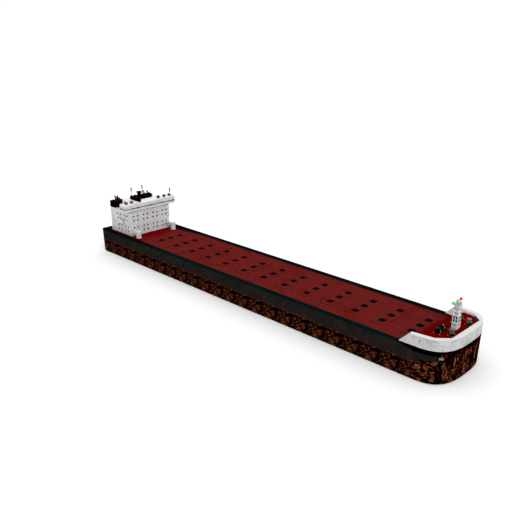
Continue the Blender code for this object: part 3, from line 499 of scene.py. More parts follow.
glassLook = {
    "low": 3.765,               # of the bridge's windows above the keel
    "high": 3.87,
    "spotY": 1.148,
    "spotHalf": 0.10,
    "sideX": -11.85,            # aft of this the wings' ends are a deeper blue
    "sideY": 2.2,
    "blackX": -11.6,            # forward of this the port wing's tip is black
    "blackY": 2.12,
    "glass": photoColour(152, 154, 164),
    "glassDark": photoColour(118, 121, 140),
    "deep": photoColour(4, 22, 84),
    "black": photoColour(2, 2, 3),
}
bulwarkLook = {
    "foreX": 13.2,              # forward of this the inner faces get painted shade in dark grey
    "aftX": 13.8,               # aft of this the inner faces get painted light
    "drain": (13.136, 2.159),   # x and z of a drain in the starboard side
    "drainHalf": 0.035,
    "inside": photoColour(62, 76, 73),
    "drained": photoColour(70, 68, 66),
}


def whiteCoat(paint, base="base", shine=0.75, cloudScale=3.2, patches=0.3, litTopName="houseTopLit"):
    # Off-white paint, speckled all over with grime, under soft patches and a few rust spots, and lighter on
    # faces that face up as painted light.
    look = whiteLook
    cloud = paint.noise(cloudScale, 5, 0.66, 0.5)
    grain = paint.noise(7.5, 4, 0.75)
    fine = paint.noise(26.0, 3, 0.7)
    colour = paint.mix(look[base], look["patch"], paint.smooth(cloud, 0.48, 0.66) * patches)
    colour = paint.mix(colour, look["patch"], paint.smooth(grain, 0.52, 0.62) * 0.62)
    colour = paint.mix(colour, look["bright"], paint.smooth(grain, 0.48, 0.38) * shine)
    colour = paint.mix(colour, look["patch"], paint.smooth(fine, 0.55, 0.75) * 0.3)
    spots = paint.smooth(paint.noise(9.0, 2, 0.5), 0.70, 0.74)
    colour = paint.mix(colour, look["stain"], spots * 0.45)
    # Painted light: faces that face up take the lighter white of a top lit from above.
    colour = paint.mix(colour, look[litTopName], paint.smooth(paint.facingZ, 0.5, 0.9) * 0.85)
    return colour, paint.level(grain, 0.5, 0.75), cloud + grain * 0.4


def whitePaint():
    paint = Finish("whitePaint")
    return paint.finish(*whiteCoat(paint), 0.2, 0.003)


def bulwarkPaint():
    # Inside the bow the inner faces get painted shade in dark grey at the front and painted light further
    # aft, and a drain stains the side.
    paint = Finish("bulwarkWhite")
    look = bulwarkLook
    colour, roughness, height = whiteCoat(paint, "bulwark", 0.2, 1.15, 0.75, "capTopLit")
    # Painted shade: the inner faces at the bow's front are dark grey.
    inner = paint.both(paint.facingX < -0.3, paint.x > look["foreX"])
    colour = paint.mix(colour, look["inside"], inner * 0.9)
    # Painted light: the inner faces further aft are lightened towards the white of a lit top.
    litWithin = paint.both(paint.facingY * paint.y < -0.4, paint.x < look["aftX"])
    colour = paint.mix(colour, whiteLook["top"], litWithin * 0.8)
    drainX, drainZ = look["drain"]
    drain = paint.both(
        paint.near(paint.x, drainX, look["drainHalf"], 0.01),
        paint.near(paint.z, drainZ, look["drainHalf"], 0.01), paint.y < 0.0)
    return paint.finish(paint.mix(colour, look["drained"], drain), roughness, height, 0.2, 0.003)


def glassColour(paint):
    # Grey-blue, deep blue where the bridge narrows, black at the port wing's tip.
    look = glassLook
    band = paint.noise(1.3, 3, 0.5)
    colour = paint.mix(look["glass"], look["glassDark"], paint.smooth(band, 0.44, 0.58))
    spot = paint.both(paint.near(paint.offY, look["spotY"], look["spotHalf"], 0.03), paint.facingX > 0.5)
    end = paint.both(paint.offY > look["sideY"], paint.x < look["sideX"])
    colour = paint.mix(colour, look["deep"], paint.either(spot, end * 0.5))
    return paint.mix(colour, look["black"], paint.both(paint.y > look["blackY"], paint.x > look["blackX"]))


def glassPaint():
    paint = Finish("bridgeGlass")
    shade = paint.noise(2.0, 3, 0.5)
    return paint.finish(glassColour(paint), paint.level(shade, 0.12, 0.2), gloss=0.1)


def wheelhousePaint():
    # The bars between the windows are as dark as the glass.
    paint = Finish("wheelhouseWhite")
    colour, roughness, height = whiteCoat(paint)
    low, high = glassLook["low"], glassLook["high"]
    band = paint.near(paint.z, (low + high) / 2, (high - low) / 2, 0.006)
    return paint.finish(paint.mix(colour, glassColour(paint), band), roughness, height, 0.2, 0.003)


def plainPaint(name, base, worn, roughness=(0.4, 0.65)):
    # Paint on small fittings, with patches of a worn colour.
    paint = Finish(name)
    soot = paint.noise(7.0, 5, 0.65)
    fine = paint.noise(40.0, 4, 0.6)
    colour = paint.mix(base, worn, paint.smooth(soot, 0.46, 0.74) * 0.8)
    height = soot + fine * 0.3
    return paint.finish(colour, paint.level(fine, *roughness), height, 0.3, 0.003, 0.0, 0.02)


def sootPaint():
    # Black, browner where it faces up and in patches.
    paint = Finish("funnelSoot")
    soot = paint.noise(5.0, 5, 0.65)
    brown = paint.either(paint.smooth(soot, 0.52, 0.72) * 0.6, paint.smooth(paint.facingZ, 0.5, 0.9) * 0.35)
    colour = paint.mix(photoColour(3, 1, 1), photoColour(54, 28, 20), brown)
    return paint.finish(colour, paint.level(soot, 0.6, 0.85), soot, 0.3, 0.003)


def roomGlass():
    # Black, with grey in some of the panes.
    paint = Finish("roomGlass")
    shade = paint.noise(5.0, 2, 0.5)
    greyPanes = paint.smooth(shade, 0.52, 0.60)
    colour = paint.mix(glassLook["black"], photoColour(84, 84, 84), greyPanes)
    return paint.finish(colour, paint.level(shade, 0.2, 0.4), gloss=0.1)


yellowMark = photoColour(255, 206, 6)


def machinePaint():
    # Near-black deck machinery, greenish in patches.
    paint = Finish("machinePaint")
    soot = paint.noise(9.0, 5, 0.6)
    colour = paint.mix(photoColour(2, 5, 14), photoColour(8, 30, 34), paint.smooth(soot, 0.48, 0.66))
    return paint.finish(colour, paint.level(soot, 0.35, 0.6), soot, 0.3, 0.003, 0.0, 0.03)


drumLook = {
    "rimHalf": 0.019,
    "rimDepth": 0.006,
    "rimBehind": 0.04,          # the yellow ends this far behind the axis
}


def drumPaint():
    # The windlass drum: black, with the rim of its middle flange in worn yellow.
    paint = Finish("drumPaint")
    low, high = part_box("windlass_drum_starboard")
    middleY = (abs(low.y) + abs(high.y)) / 2
    axisX, axisZ = (low.x + high.x) / 2, (low.z + high.z) / 2
    radius = (high.x - low.x) / 2
    soot = paint.noise(12.0, 4, 0.6)
    colour = paint.mix(photoColour(3, 3, 16), photoColour(14, 18, 40), paint.smooth(soot, 0.45, 0.7))
    alongX, alongZ = paint.x - axisX, paint.z - axisZ
    out = paint.maths("SQRT", alongX * alongX + alongZ * alongZ)
    worn = paint.smooth(paint.noise(16.0, 2), 0.40, 0.46)
    rim = paint.both(
        paint.near(paint.offY, middleY, drumLook["rimHalf"]), out > radius - drumLook["rimDepth"],
        paint.x > axisX - drumLook["rimBehind"], worn)
    colour = paint.mix(colour, yellowMark, rim)
    return paint.finish(colour, paint.level(soot, 0.35, 0.6), soot, 0.3, 0.003, 0.0, 0.03)


capstanLook = {"rimPitch": 0.058, "rimDrop": 0.012, "rimHalf": (0.012, 0.022)}


def steelPaint():
    # Bare grey steel, dark in the waist and bright on the rims.
    paint = Finish("bareSteel")
    low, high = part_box("capstan_starboard")
    fromRim = paint.fold(paint.z, capstanLook["rimPitch"], high.z - capstanLook["rimDrop"])
    rings = paint.smooth(fromRim, *capstanLook["rimHalf"])
    soot = paint.noise(14.0, 5, 0.65)
    colour = paint.mix(photoColour(90, 100, 103), photoColour(15, 18, 20), rings)
    colour = paint.mix(colour, photoColour(92, 76, 62), paint.smooth(soot, 0.58, 0.75) * 0.5)
    return paint.finish(colour, paint.level(soot, 0.35, 0.6), soot + rings, 0.3, 0.002, 0.15, 0.3)


def anchorSteel():
    # Light grey, dark brown on the shank.
    paint = Finish("anchorSteel")
    soot = paint.noise(11.0, 5, 0.65)
    low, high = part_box("anchor_starboard")
    colour = paint.mix(photoColour(150, 152, 152), photoColour(84, 62, 50), paint.smooth(soot, 0.48, 0.62))
    shankZ = low.z + 0.13
    shank = paint.smooth(paint.z, shankZ - 0.02, shankZ + 0.02)
    colour = paint.mix(colour, photoColour(44, 22, 14), shank * 0.9)
    return paint.finish(colour, paint.level(soot, 0.45, 0.7), soot, 0.3, 0.003, 0.3)


def bronzeFinish():
    # Bronze, tarnished green in patches.
    paint = Finish("propellerBronze")
    tarnish = paint.noise(6.0, 6, 0.65)
    fine = paint.noise(60.0, 3)
    colour = paint.mix((0.62, 0.40, 0.16), (0.20, 0.22, 0.13), paint.smooth(tarnish, 0.46, 0.68))
    return paint.finish(colour, paint.level(tarnish, 0.22, 0.5), tarnish + fine * 0.2, 0.3, 0.002, 0.95)


def rudderFinish():
    # Rusty islands between black cracks, as below the paint line.
    paint = Finish("rudderRust")
    at = paint.warped(paint.stretched(4.0, 4.0, 5.5), 1.5, 0.8)
    islands = paint.both(
        paint.smooth(paint.noise(1.3, 6, 0.68, 0.5, at), 0.40, 0.53),
        paint.smooth(paint.cells(1.0, at), 0.01, 0.08))
    fleck = paint.noise(14.0, 5, 0.7)
    rust = paint.mix(hullLook["rustDark"], hullLook["rustLight"], paint.smooth(fleck, 0.3, 0.75))
    colour = paint.mix(hullLook["crack"], rust, islands)
    return paint.finish(colour, paint.level(fleck, 0.6, 0.85), islands + fleck * 0.3, 0.5, 0.006)


mastLook = {
    "middleX": 13.73,
    "baseHalf": (0.14, 0.19),
    "towerHalf": (0.157, 0.148),
    "columnHalf": (0.125, 0.120),
    "baseFoot": ship["foreDeckRise"],   # heights above the main deck, down to the rows of holes
    "baseTop": 0.89,
    "towerTop": 1.29,
    "columnTop": 1.80,
    "holeRows": (1.00, 1.17),
    "holePitch": 0.066,         # from the mast's middle
    "holeHalf": 0.047,
    "lampY": 0.30,              # the sidelights are further out than this
    "lampDrop": 0.27,           # and higher than this far below the mast's top
    "lensY": 0.11,              # the floodlight's front, as the same two
    "lensDrop": 0.30,
    "green": photoColour(84, 214, 8),
    "red": photoColour(226, 6, 6),
    # The next three are painted shade inside the hollow mast, seen through its holes.
    "hole": photoColour(3, 4, 5),
    "baseHoleShade": photoColour(74, 10, 14),
    "columnHoleShade": photoColour(104, 104, 106),
    "smudge": photoColour(128, 128, 131),
}


def mastPaint():
    # White with grey smudges, painted shade inside the hollow mast and as dark margins round the lightening
    # holes, and green and red sidelights.
    paint = Finish("mastPaint")
    look = mastLook
    smudge = paint.noise(9.0, 5, 0.65, 0.5)
    colour = paint.mix(whiteLook["base"], look["smudge"], paint.smooth(smudge, 0.54, 0.72) * 0.7)
    colour = paint.mix(colour, whiteLook["top"], paint.smooth(smudge, 0.50, 0.36) * 0.7)
    fromX = paint.maths("ABSOLUTE", paint.x - look["middleX"])
    rises = (
        ("baseHalf", "baseFoot", "baseTop", "baseHoleShade"), ("towerHalf", "baseTop", "towerTop", "hole"),
        ("columnHalf", "towerTop", "columnTop", "columnHoleShade"))
    for half, low, high, shade in rises:
        inside = paint.both(
            fromX < look[half][0] - 0.003, paint.offY < look[half][1] - 0.003,
            paint.z > deckZ + look[low] + 0.02, paint.z < deckZ + look[high] - 0.012)
        colour = paint.mix(colour, look[shade], inside)
    # Painted shade: dark margins round the holes on the mast's faces.
    for across, facing in ((fromX, paint.facingY), (paint.offY, paint.facingX)):
        for row in look["holeRows"]:
            rim = paint.both(
                paint.near(across, look["holePitch"], look["holeHalf"], 0.008),
                paint.near(paint.z, deckZ + row, look["holeHalf"] * 1.6, 0.012),
                paint.maths("ABSOLUTE", facing) > 0.5, paint.z < deckZ + look["towerTop"])
            colour = paint.mix(colour, look["hole"], rim * 0.8)
    grimy = paint.both(paint.z > deckZ + look["towerTop"] + 0.05, paint.smooth(smudge, 0.46, 0.6))
    colour = paint.mix(colour, look["smudge"], grimy * 0.5)
    lamp = paint.both(paint.offY > look["lampY"], paint.z > mastTop - look["lampDrop"])
    colour = paint.mix(colour, paint.mix(look["green"], look["red"], paint.y > 0.0), lamp)
    lens = paint.both(
        paint.facingX > 0.8, paint.z > mastTop - look["lensDrop"], paint.offY < look["lensY"])
    colour = paint.mix(colour, look["smudge"], lens)
    return paint.finish(colour, paint.level(smudge, 0.35, 0.6) * (1.0 - lamp * 0.6), smudge, 0.3, 0.003)


roofLamps = {
    "searchX": -11.66,          # a searchlight's middle
    "searchY": (1.479, 1.966),
    "searchRadius": 0.097,
    "searchGap": 0.01,          # between it and the roof
    "searchFront": 0.11,        # from its middle to its front
    "lensShare": 0.72,          # of its radius
    "lensDepth": 0.012,
    "rimX": 0.095,              # from its middle to the tan rim
    "fromY": 0.7,               # the lamps stand further out than this, the searchlights than the next
    "searchFromY": 1.2,
    "whipX": -11.7,             # aft of this, what stands higher than the lamps is a whip
    "whipRise": 0.23,
}


def roofPaint():
    # The roof's white, painted lit from above with painted shade dimming its edges, and its lamps: black
    # bodies with tan fronts, black signal lamps.
    paint = Finish("roofPaint")
    look, lamps = whiteLook, roofLamps
    cloud = paint.noise(4.2, 6, 0.66, 0.5)
    colour = paint.mix(look["top"], look["patch"], paint.smooth(cloud, 0.56, 0.76) * 0.45)
    # Painted shade: the roof's edges take a dimmer white than its lit top.
    side = paint.both(paint.facingZ < 0.5, paint.z < roofZ + 0.002)
    colour = paint.mix(colour, look["bright"], side * 0.7)
    lamp = paint.both(paint.z > roofZ + 0.004, paint.offY > lamps["fromY"])
    front = paint.both(lamp, paint.x > lamps["searchX"] + lamps["rimX"], paint.offY > lamps["searchFromY"])
    tint = paint.mix(photoColour(118, 94, 70), photoColour(84, 60, 40), paint.smooth(cloud, 0.45, 0.6))
    colour = paint.mix(colour, photoColour(4, 4, 4), lamp)
    colour = paint.mix(colour, tint, front)
    whip = paint.both(paint.z > roofZ + lamps["whipRise"], paint.x < lamps["whipX"])
    colour = paint.mix(colour, photoColour(24, 24, 26), whip)
    return paint.finish(colour, paint.level(cloud, 0.4, 0.65), cloud, 0.25, 0.003)


finishes = {
    "hull": hullPaint(),
    "cover": coverPaint(),
    "white": whitePaint(),
    "bulwark": bulwarkPaint(),
    "wheelhouse": wheelhousePaint(),
    "soot": sootPaint(),
    "glass": glassPaint(),
    "roomGlass": roomGlass(),
    "machine": machinePaint(),
    "drum": drumPaint(),
    "steel": steelPaint(),
    "anchor": anchorSteel(),
    "bronze": bronzeFinish(),
    "rudder": rudderFinish(),
    "mast": mastPaint(),
    "roof": roofPaint(),
    "fitting": plainPaint("fittingGrey", photoColour(70, 72, 74), photoColour(120, 110, 104)),
    "rail": plainPaint("railGrey", photoColour(206, 206, 206), photoColour(160, 152, 146)),
    "yellow": plainPaint("warningYellow", yellowMark, photoColour(196, 140, 24)),
    "lens": plainPaint("lampLens", photoColour(122, 88, 58), photoColour(84, 52, 28), (0.1, 0.25)),
    "pipe": plainPaint("pipeBrown", photoColour(40, 29, 27), photoColour(58, 26, 18)),
    "whip": plainPaint("whipGrey", photoColour(34, 34, 36), photoColour(24, 22, 22)),
    "orange": plainPaint("orangePaint", photoColour(196, 116, 40), photoColour(150, 82, 30)),
    "dome": plainPaint("domeGrey", photoColour(204, 206, 208), photoColour(156, 156, 156)),
    "vent": plainPaint("ventGrey", photoColour(124, 112, 110), photoColour(96, 80, 76)),
}
finishOfNode = {
    "hull": "hull", "hatch_cover": "cover", "bulwark": "bulwark", "anchor": "anchor", "rudder": "rudder",
    "propeller": "bronze", "lower_house": "white", "upper_house": "white", "bridge_deck": "white",
    "wheelhouse": "wheelhouse", "bridge_windows": "glass", "bridge_roof": "roof", "funnel": "soot",
    "roof_uptakes": "soot", "radar_scanner": "soot", "vent_post": "white", "lifeboat": "white",
    "foremast": "mast", "windlass_drum": "drum", "windlass": "machine", "capstan_base": "machine",
    "capstan": "steel",
}


def dressNodes():
    # The longest name that a node's own begins with says its finish.
    for name, thing in shipNodes.items():
        kinds = [kind for kind in finishOfNode if name.startswith(kind)]
        finish = finishes[finishOfNode[max(kinds, key=len)]]
        thing.data.materials.clear()
        thing.data.materials.append(finish)
    print("finishes on", len(shipNodes), "nodes")


dressNodes()


# Geometry that repeats
class Growth(Bench):  # a Geometry Nodes tree with named inputs
    def __init__(self, name, sizes):
        tree = bpy.data.node_groups.new(name, "GeometryNodeTree")
        super().__init__(tree)
        tree.interface.new_socket("Geometry", in_out="INPUT", socket_type="NodeSocketGeometry")
        tree.interface.new_socket("Geometry", in_out="OUTPUT", socket_type="NodeSocketGeometry")
        self.names = {}
        for label, value in sizes.items():
            kind = "NodeSocketVector" if isinstance(value, tuple) else "NodeSocketFloat"
            socket = tree.interface.new_socket(label, in_out="INPUT", socket_type=kind)
            socket.default_value = value
            self.names[label] = socket.identifier
        material = tree.interface.new_socket("Finish", in_out="INPUT", socket_type="NodeSocketMaterial")
        self.names["Finish"] = material.identifier
        self.given = tree.nodes.new("NodeGroupInput").outputs
        self.out = tree.nodes.new("NodeGroupOutput").inputs[0]

    def onPoints(self, points, shape):
        # Copies of a shape on each point, turned by the points' own "facing".
        facing = self.node("GeometryNodeInputNamedAttribute", {"data_type": "FLOAT_VECTOR"}, {
            "Name": "facing"}).outputs["Attribute"]
        made = self.node("GeometryNodeInstanceOnPoints", inputs={
            "Points": points, "Instance": shape, "Rotation": facing})
        return made.outputs[0]

    def moved(self, shape, shift=(0, 0, 0), turn=(0, 0, 0)):
        made = self.node("GeometryNodeTransform", inputs={
            "Geometry": shape, "Translation": shift, "Rotation": turn})
        return made.outputs[0]

    def joined(self, *shapes):
        made = self.node("GeometryNodeJoinGeometry")
        for shape in shapes:
            self.tree.links.new(shape, made.inputs[0])
        return made.outputs[0]

    def end(self, shape):
        real = self.node("GeometryNodeRealizeInstances", inputs={0: shape}).outputs[0]
        dressed = self.node("GeometryNodeSetMaterial", inputs={
            "Geometry": real, "Material": self.given["Finish"]}).outputs[0]
        self.tree.links.new(dressed, self.out)
        return self


def blockTree():
    tree = Growth("blocksOnPoints", {"Size": (0.1, 0.1, 0.1)})
    block = tree.node("GeometryNodeMeshCube", inputs={"Size": tree.given["Size"]}).outputs[0]
    return tree.end(tree.onPoints(tree.given["Geometry"], block))


def roundTree():
    tree = Growth("roundsOnPoints", {"Radius": 0.02, "Height": 0.01})
    shape = tree.node("GeometryNodeMeshCylinder", {"fill_type": "NGON"}, {
        "Vertices": 12, "Radius": tree.given["Radius"], "Depth": tree.given["Height"]}).outputs[0]
    return tree.end(tree.onPoints(tree.given["Geometry"], shape))


def frameTree():
    # A rectangular rim round each window, in the window's own upright plane.
    tree = Growth("framesOnPoints", {"Width": 0.08, "Height": 0.08, "Bar": 0.012, "Depth": 0.01})
    outline = tree.node("GeometryNodeCurvePrimitiveQuadrilateral", inputs={
        "Width": tree.given["Width"], "Height": tree.given["Height"]}).outputs[0]
    section = tree.node("GeometryNodeCurvePrimitiveQuadrilateral", inputs={
        "Width": tree.given["Bar"], "Height": tree.given["Depth"]}).outputs[0]
    rim = tree.node("GeometryNodeCurveToMesh", inputs={
        "Curve": outline, "Profile Curve": section}).outputs[0]
    upright = tree.moved(rim, turn=(math.pi / 2, 0, 0))
    return tree.end(tree.onPoints(tree.given["Geometry"], upright))


def railTree():
    # Posts at a spacing along a line, with a rail at the top and one at half height.
    tree = Growth("railAlongLine", {
        "Height": 0.11, "Spacing": 0.2, "Rail Radius": 0.006, "Post Radius": 0.007})
    line = tree.node("GeometryNodeMeshToCurve", inputs={"Mesh": tree.given["Geometry"]}).outputs[0]
    section = tree.node("GeometryNodeCurvePrimitiveCircle", inputs={
        "Resolution": 6, "Radius": tree.given["Rail Radius"]}).outputs[0]
    height = Amount(tree, tree.given["Height"])
    rails = []
    for share in (0.5, 1.0):
        lift = tree.node("ShaderNodeCombineXYZ", inputs={2: height * share}).outputs[0]
        raised = tree.moved(line, lift)
        rails.append(tree.node("GeometryNodeCurveToMesh", inputs={
            "Curve": raised, "Profile Curve": section, "Fill Caps": True}).outputs[0])
    posts = tree.node("GeometryNodeResampleCurve", {"mode": "LENGTH"}, {
        "Curve": line, "Length": tree.given["Spacing"]}).outputs[0]
    post = tree.node("GeometryNodeMeshCylinder", {"fill_type": "NGON"}, {
        "Vertices": 6, "Radius": tree.given["Post Radius"], "Depth": height}).outputs[0]
    lift = tree.node("ShaderNodeCombineXYZ", inputs={2: height * 0.5}).outputs[0]
    stood = tree.node("GeometryNodeInstanceOnPoints", inputs={
        "Points": posts, "Instance": tree.moved(post, lift)}).outputs[0]
    return tree.end(tree.joined(*rails, stood))


trees = {"block": blockTree(), "round": roundTree(), "frame": frameTree(), "rail": railTree()}


def grow(name, kind, points, sizes, finish, body="ship", facing=(0, 0, 0), closed=False, lines=False):
    # Points, or a line through them, become a piece that rides on a body. A point may carry
    # its own facing as a second item.
    places, turns = [], []
    for point in points:
        turned = len(point) == 2
        places.append(point[0] if turned else point)
        turns.append(point[1] if turned else facing)
    edges = [(i, i + 1) for i in range(len(places) - 1)] if lines else []
    if closed:
        edges.append((len(places) - 1, 0))
    mesh = bpy.data.meshes.new(name)
    mesh.from_pydata(places, edges, [])
    attribute = mesh.attributes.new("facing", "FLOAT_VECTOR", "POINT")
    for spot, turn in zip(attribute.data, turns):
        spot.vector = turn
    tree = trees[kind]
    piece = bpy.data.objects.new(name, mesh)
    bpy.context.scene.collection.objects.link(piece)
    modifier = piece.modifiers.new("grow", "NODES")
    modifier.node_group = tree.tree
    for label, value in {**sizes, "Finish": finishes[finish]}.items():
        modifier[tree.names[label]] = value
    bpy.context.view_layer.update()
    grown = bpy.data.meshes.new_from_object(piece.evaluated_get(bpy.context.evaluated_depsgraph_get()))
    piece.modifiers.clear()
    piece.data = grown
    bpy.data.meshes.remove(mesh)
    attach(piece, body)
    return piece


# Windows of the accommodation block, in pairs
rooms = {
    "pairs": (-1.305, -0.435, 0.435, 1.305),    # y of the pairs on the front
    "sidePairs": (-12.95, -12.08),              # x of the pairs on the sides
    "spread": 0.348,                            # between the two windows of a pair
    "rises": (0.313, 0.618, 1.148, 1.479),      # above the main deck
    "width": 0.126,
    "height": 0.132,
    "bar": 0.010,
    "depth": 0.010,
}


def roomWindows():
    places = []
    for rise in rooms["rises"]:
        z = deckZ + rise
        low, high = (lowerLow, lowerHigh) if z < lowerHigh.z else (houseLow, houseHigh)
        for middle in rooms["pairs"]:
            for y in (middle - rooms["spread"] / 2, middle + rooms["spread"] / 2):
                places.append(((high.x, y, z), (0, 0, math.pi / 2)))
                places.append(((low.x, y, z), (0, 0, math.pi / 2)))
        for middle in rooms["sidePairs"]:
            for x in (middle - rooms["spread"] / 2, middle + rooms["spread"] / 2):
                places.append(((x, low.y, z), (0, 0, 0)))
                places.append(((x, high.y, z), (0, 0, 0)))
    rim = {"Width": rooms["width"], "Height": rooms["height"], "Bar": rooms["bar"], "Depth": rooms["depth"]}
    grow("room_window_frames", "frame", places, rim, "white")
    pane = {"Size": (rooms["width"], rooms["depth"] * 0.5, rooms["height"])}
    grow("room_window_panes", "block", places, pane, "roomGlass")
    print("room windows", len(places))


roomWindows()


# Rails round the bridge's roof and the top of the house
rails = {
    "height": 0.10,
    "spacing": 0.24,
    "radius": 0.005,
    "inset": 0.03,
    "innerY": 1.305,            # half the width of the roof aft of its wings
    "wingAftX": -12.06,
    "houseFore": 0.9,           # from the wheelhouse's aft edge to where the house's rails begin
    "gap": 0.02,                # half the opening between them, aft
}


def roofRails():
    sizes = {
        "Height": rails["height"], "Spacing": rails["spacing"],
        "Rail Radius": rails["radius"], "Post Radius": rails["radius"] * 1.2}
    inset = rails["inset"]
    fore, aft = wingHigh.x - inset, wingLow.x + inset
    outer, inner = wingHigh.y - inset, rails["innerY"] - inset
    wing = rails["wingAftX"] + inset
    half = [(fore, outer), (wing, outer), (wing, inner), (aft, inner)]
    outline = half + [(x, -y) for x, y in reversed(half)]
    grow("roof_rail", "rail", [(x, y, roofZ) for x, y in outline], sizes, "rail", closed=True, lines=True)
    top = houseHigh.z
    for label, side in sides:
        y, foreX = side * (houseHigh.y - inset), wingLow.x + rails["houseFore"]
        aftX = houseLow.x + inset
        path = [(foreX, y, top), (aftX, y, top), (aftX, side * rails["gap"], top)]
        if label == "starboard":
            # The funnel stands where the rest of this rail would run.
            low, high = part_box("funnel")
            path = [(foreX, y, top), (high.x + inset, y, top)]
        grow(f"house_rail_{label}", "rail", path, sizes, "rail", lines=True)
    print("rails up")


roofRails()


# Frames in the holds, and beams under the covers
stiffeners = {
    "count": 9,
    "width": 0.02,
    "depth": 0.035,
    "foot": 0.23,               # above the keel
    "drop": 0.11,               # from the deck to a frame's top
    "reach": 1.123,             # y of the outermost frames and beams
    "holdHalf": 0.322,          # from a hold's middle to its end walls
    "beams": 7,
    "beamSize": (0.54, 0.018, 0.028),
    "beamDrop": 0.006,          # from the deck to a beam's middle
}


def spread(count, reach):
    # Places at equal steps from one side to the other.
    return [-reach + 2 * reach * i / (count - 1) for i in range(count)]


def holdFrames():
    look = stiffeners
    foot, top = look["foot"], deckZ - look["drop"]
    ahead = look["holdHalf"] - look["depth"] / 2
    middles = [firstHatchX + hatchBay * row for row in range(coverCount)]
    places = []
    for x in middles:
        for y in spread(look["count"], look["reach"]):
            places += [(x - ahead, y, (foot + top) / 2), (x + ahead, y, (foot + top) / 2)]
    grow("hold_frames", "block", places, {"Size": (look["depth"], look["width"], top - foot)}, "hull")
    for number, x in enumerate(middles, 1):
        beams = [(x, y, deckZ - look["beamDrop"]) for y in spread(look["beams"], look["reach"])]
        name, body = f"cover_beams_{number:02d}", f"cover_{number:02d}"
        beam = grow(name, "block", beams, {"Size": look["beamSize"]}, "cover", body)
    print("holds framed")


holdFrames()


def madePiece(name, shape, finish):
    # A bmesh becomes a piece that rides on the ship.
    mesh = bpy.data.meshes.new(name)
    shape.to_mesh(mesh)
    shape.free()
    mesh.materials.append(finishes[finish])
    piece = bpy.data.objects.new(name, mesh)
    bpy.context.scene.collection.objects.link(piece)
    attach(piece, "ship")
    return piece


def turnedPiece(name, centre, profile, finish, segments=24):
    # A profile of (radius, height) from the top down, turned about an upright axis.
    shape = bmesh.new()
    rings = []
    for radius, height in profile:
        ring = []
        for i in range(segments if radius > 0 else 1):
            angle = 2 * math.pi * i / segments
            place = Vector((radius * math.cos(angle), radius * math.sin(angle), height))
            ring.append(shape.verts.new(place + Vector(centre)))
        rings.append(ring)
    for upper, lower in zip(rings, rings[1:]):
        count = max(len(upper), len(lower))
        for i in range(count):
            corners = [upper[i % len(upper)], lower[i % len(lower)]]
            corners += [lower[(i + 1) % len(lower)], upper[(i + 1) % len(upper)]]
            shape.faces.new(list(dict.fromkeys(corners)))
    bmesh.ops.recalc_face_normals(shape, faces=shape.faces)
    for face in shape.faces:
        face.smooth = True
    return madePiece(name, shape, finish)


def tubePiece(name, runs, radius, finish, segments=8):
    # Straight tubes, each closed at both ends, as one piece.
    shape = bmesh.new()
    for start, end in runs:
        start, end = Vector(start), Vector(end)
        along = end - start
        made = bmesh.ops.create_cone(
            shape, cap_ends=True, segments=segments, radius1=radius, radius2=radius, depth=along.length)
        turn = along.to_track_quat("Z", "Y").to_matrix().to_4x4()
        turn.translation = (start + end) / 2
        bmesh.ops.transform(shape, matrix=turn, verts=made["verts"])
    return madePiece(name, shape, finish)


# Small fittings on the bridge's roof
roofFittings = {
    "dome": (-12.96, 0.609, 0.092),     # x, y and radius
    "domeRise": 0.24,           # from the roof to the dome's middle
    "domeTurn": 2.1,            # of the dome's profile, in radians from its top
    "domeSteps": 9,
    "domeFoot": ((0.4, 0.14), (0.4, 0.02), (0.7, 0.0), (0, 0.0)),   # shares of the radius, and heights
    "vent": (-11.40, -1.39, 0.045),     # x, y and radius
    "ventShape": ((0, 0.05), (1, 0.04), (1.1, 0.02), (0.6, 0.015), (0.6, 0), (0, 0)),   # as the dome's foot
    "hornX": -11.39,
    "hornY": 1.248,
    "hornRise": 0.02,
    "hornSize": {"Radius": 0.032, "Height": 0.05},
}


def roofThings():
    look, lamps = roofFittings, roofLamps
    x, y, radius = look["dome"]
    profile = []
    for step in range(look["domeSteps"] + 1):
        turn = look["domeTurn"] * step / look["domeSteps"]
        profile.append((radius * math.sin(turn), radius * math.cos(turn) + look["domeRise"]))
    profile += [(radius * share, height) for share, height in look["domeFoot"]]
    turnedPiece("satellite_dome", (x, y, roofZ), profile, "dome")
    quarter = (0, math.pi / 2, 0)
    front = lamps["searchX"] + lamps["searchFront"]
    lampZ = roofZ + lamps["searchRadius"] + lamps["searchGap"]
    places = [(front, side * y, lampZ) for label, side in sides for y in lamps["searchY"]]
    size = {"Radius": lamps["searchRadius"] * lamps["lensShare"], "Height": lamps["lensDepth"]}
    grow("searchlight_lenses", "round", places, size, "lens", facing=quarter)
    horns = [(look["hornX"], side * look["hornY"], roofZ + look["hornRise"]) for label, side in sides]
    grow("roof_horns", "round", horns, look["hornSize"], "fitting", facing=quarter)
    x, y, radius = look["vent"]
    profile = [(radius * share, height) for share, height in look["ventShape"]]
    turnedPiece("roof_vent", (x, y, roofZ), profile, "fitting")
    print("roof fitted")


roofThings()


# Yellow warning marks on the machines' bases, and small vents on the deck
marks = {
    "side": 0.026,
    "stripe": (0.012, 0.024, 0.13),
    "stripeBack": 0.015,        # from the windlass's front
    "stripeIn": 0.10,           # from its outer side
    "stripeRise": 0.115,
}
deckVents = {
    "places": ((11.54, 0.33), (11.64, -0.19), (12.18, -0.49), (11.22, -0.96), (4.477, -1.36)),
    "onCover": (6, -0.68, 0.302),       # the cover's number, and the vent's y and place ahead of its hinge
    "radius": 0.022,
    "height": 0.04,
}


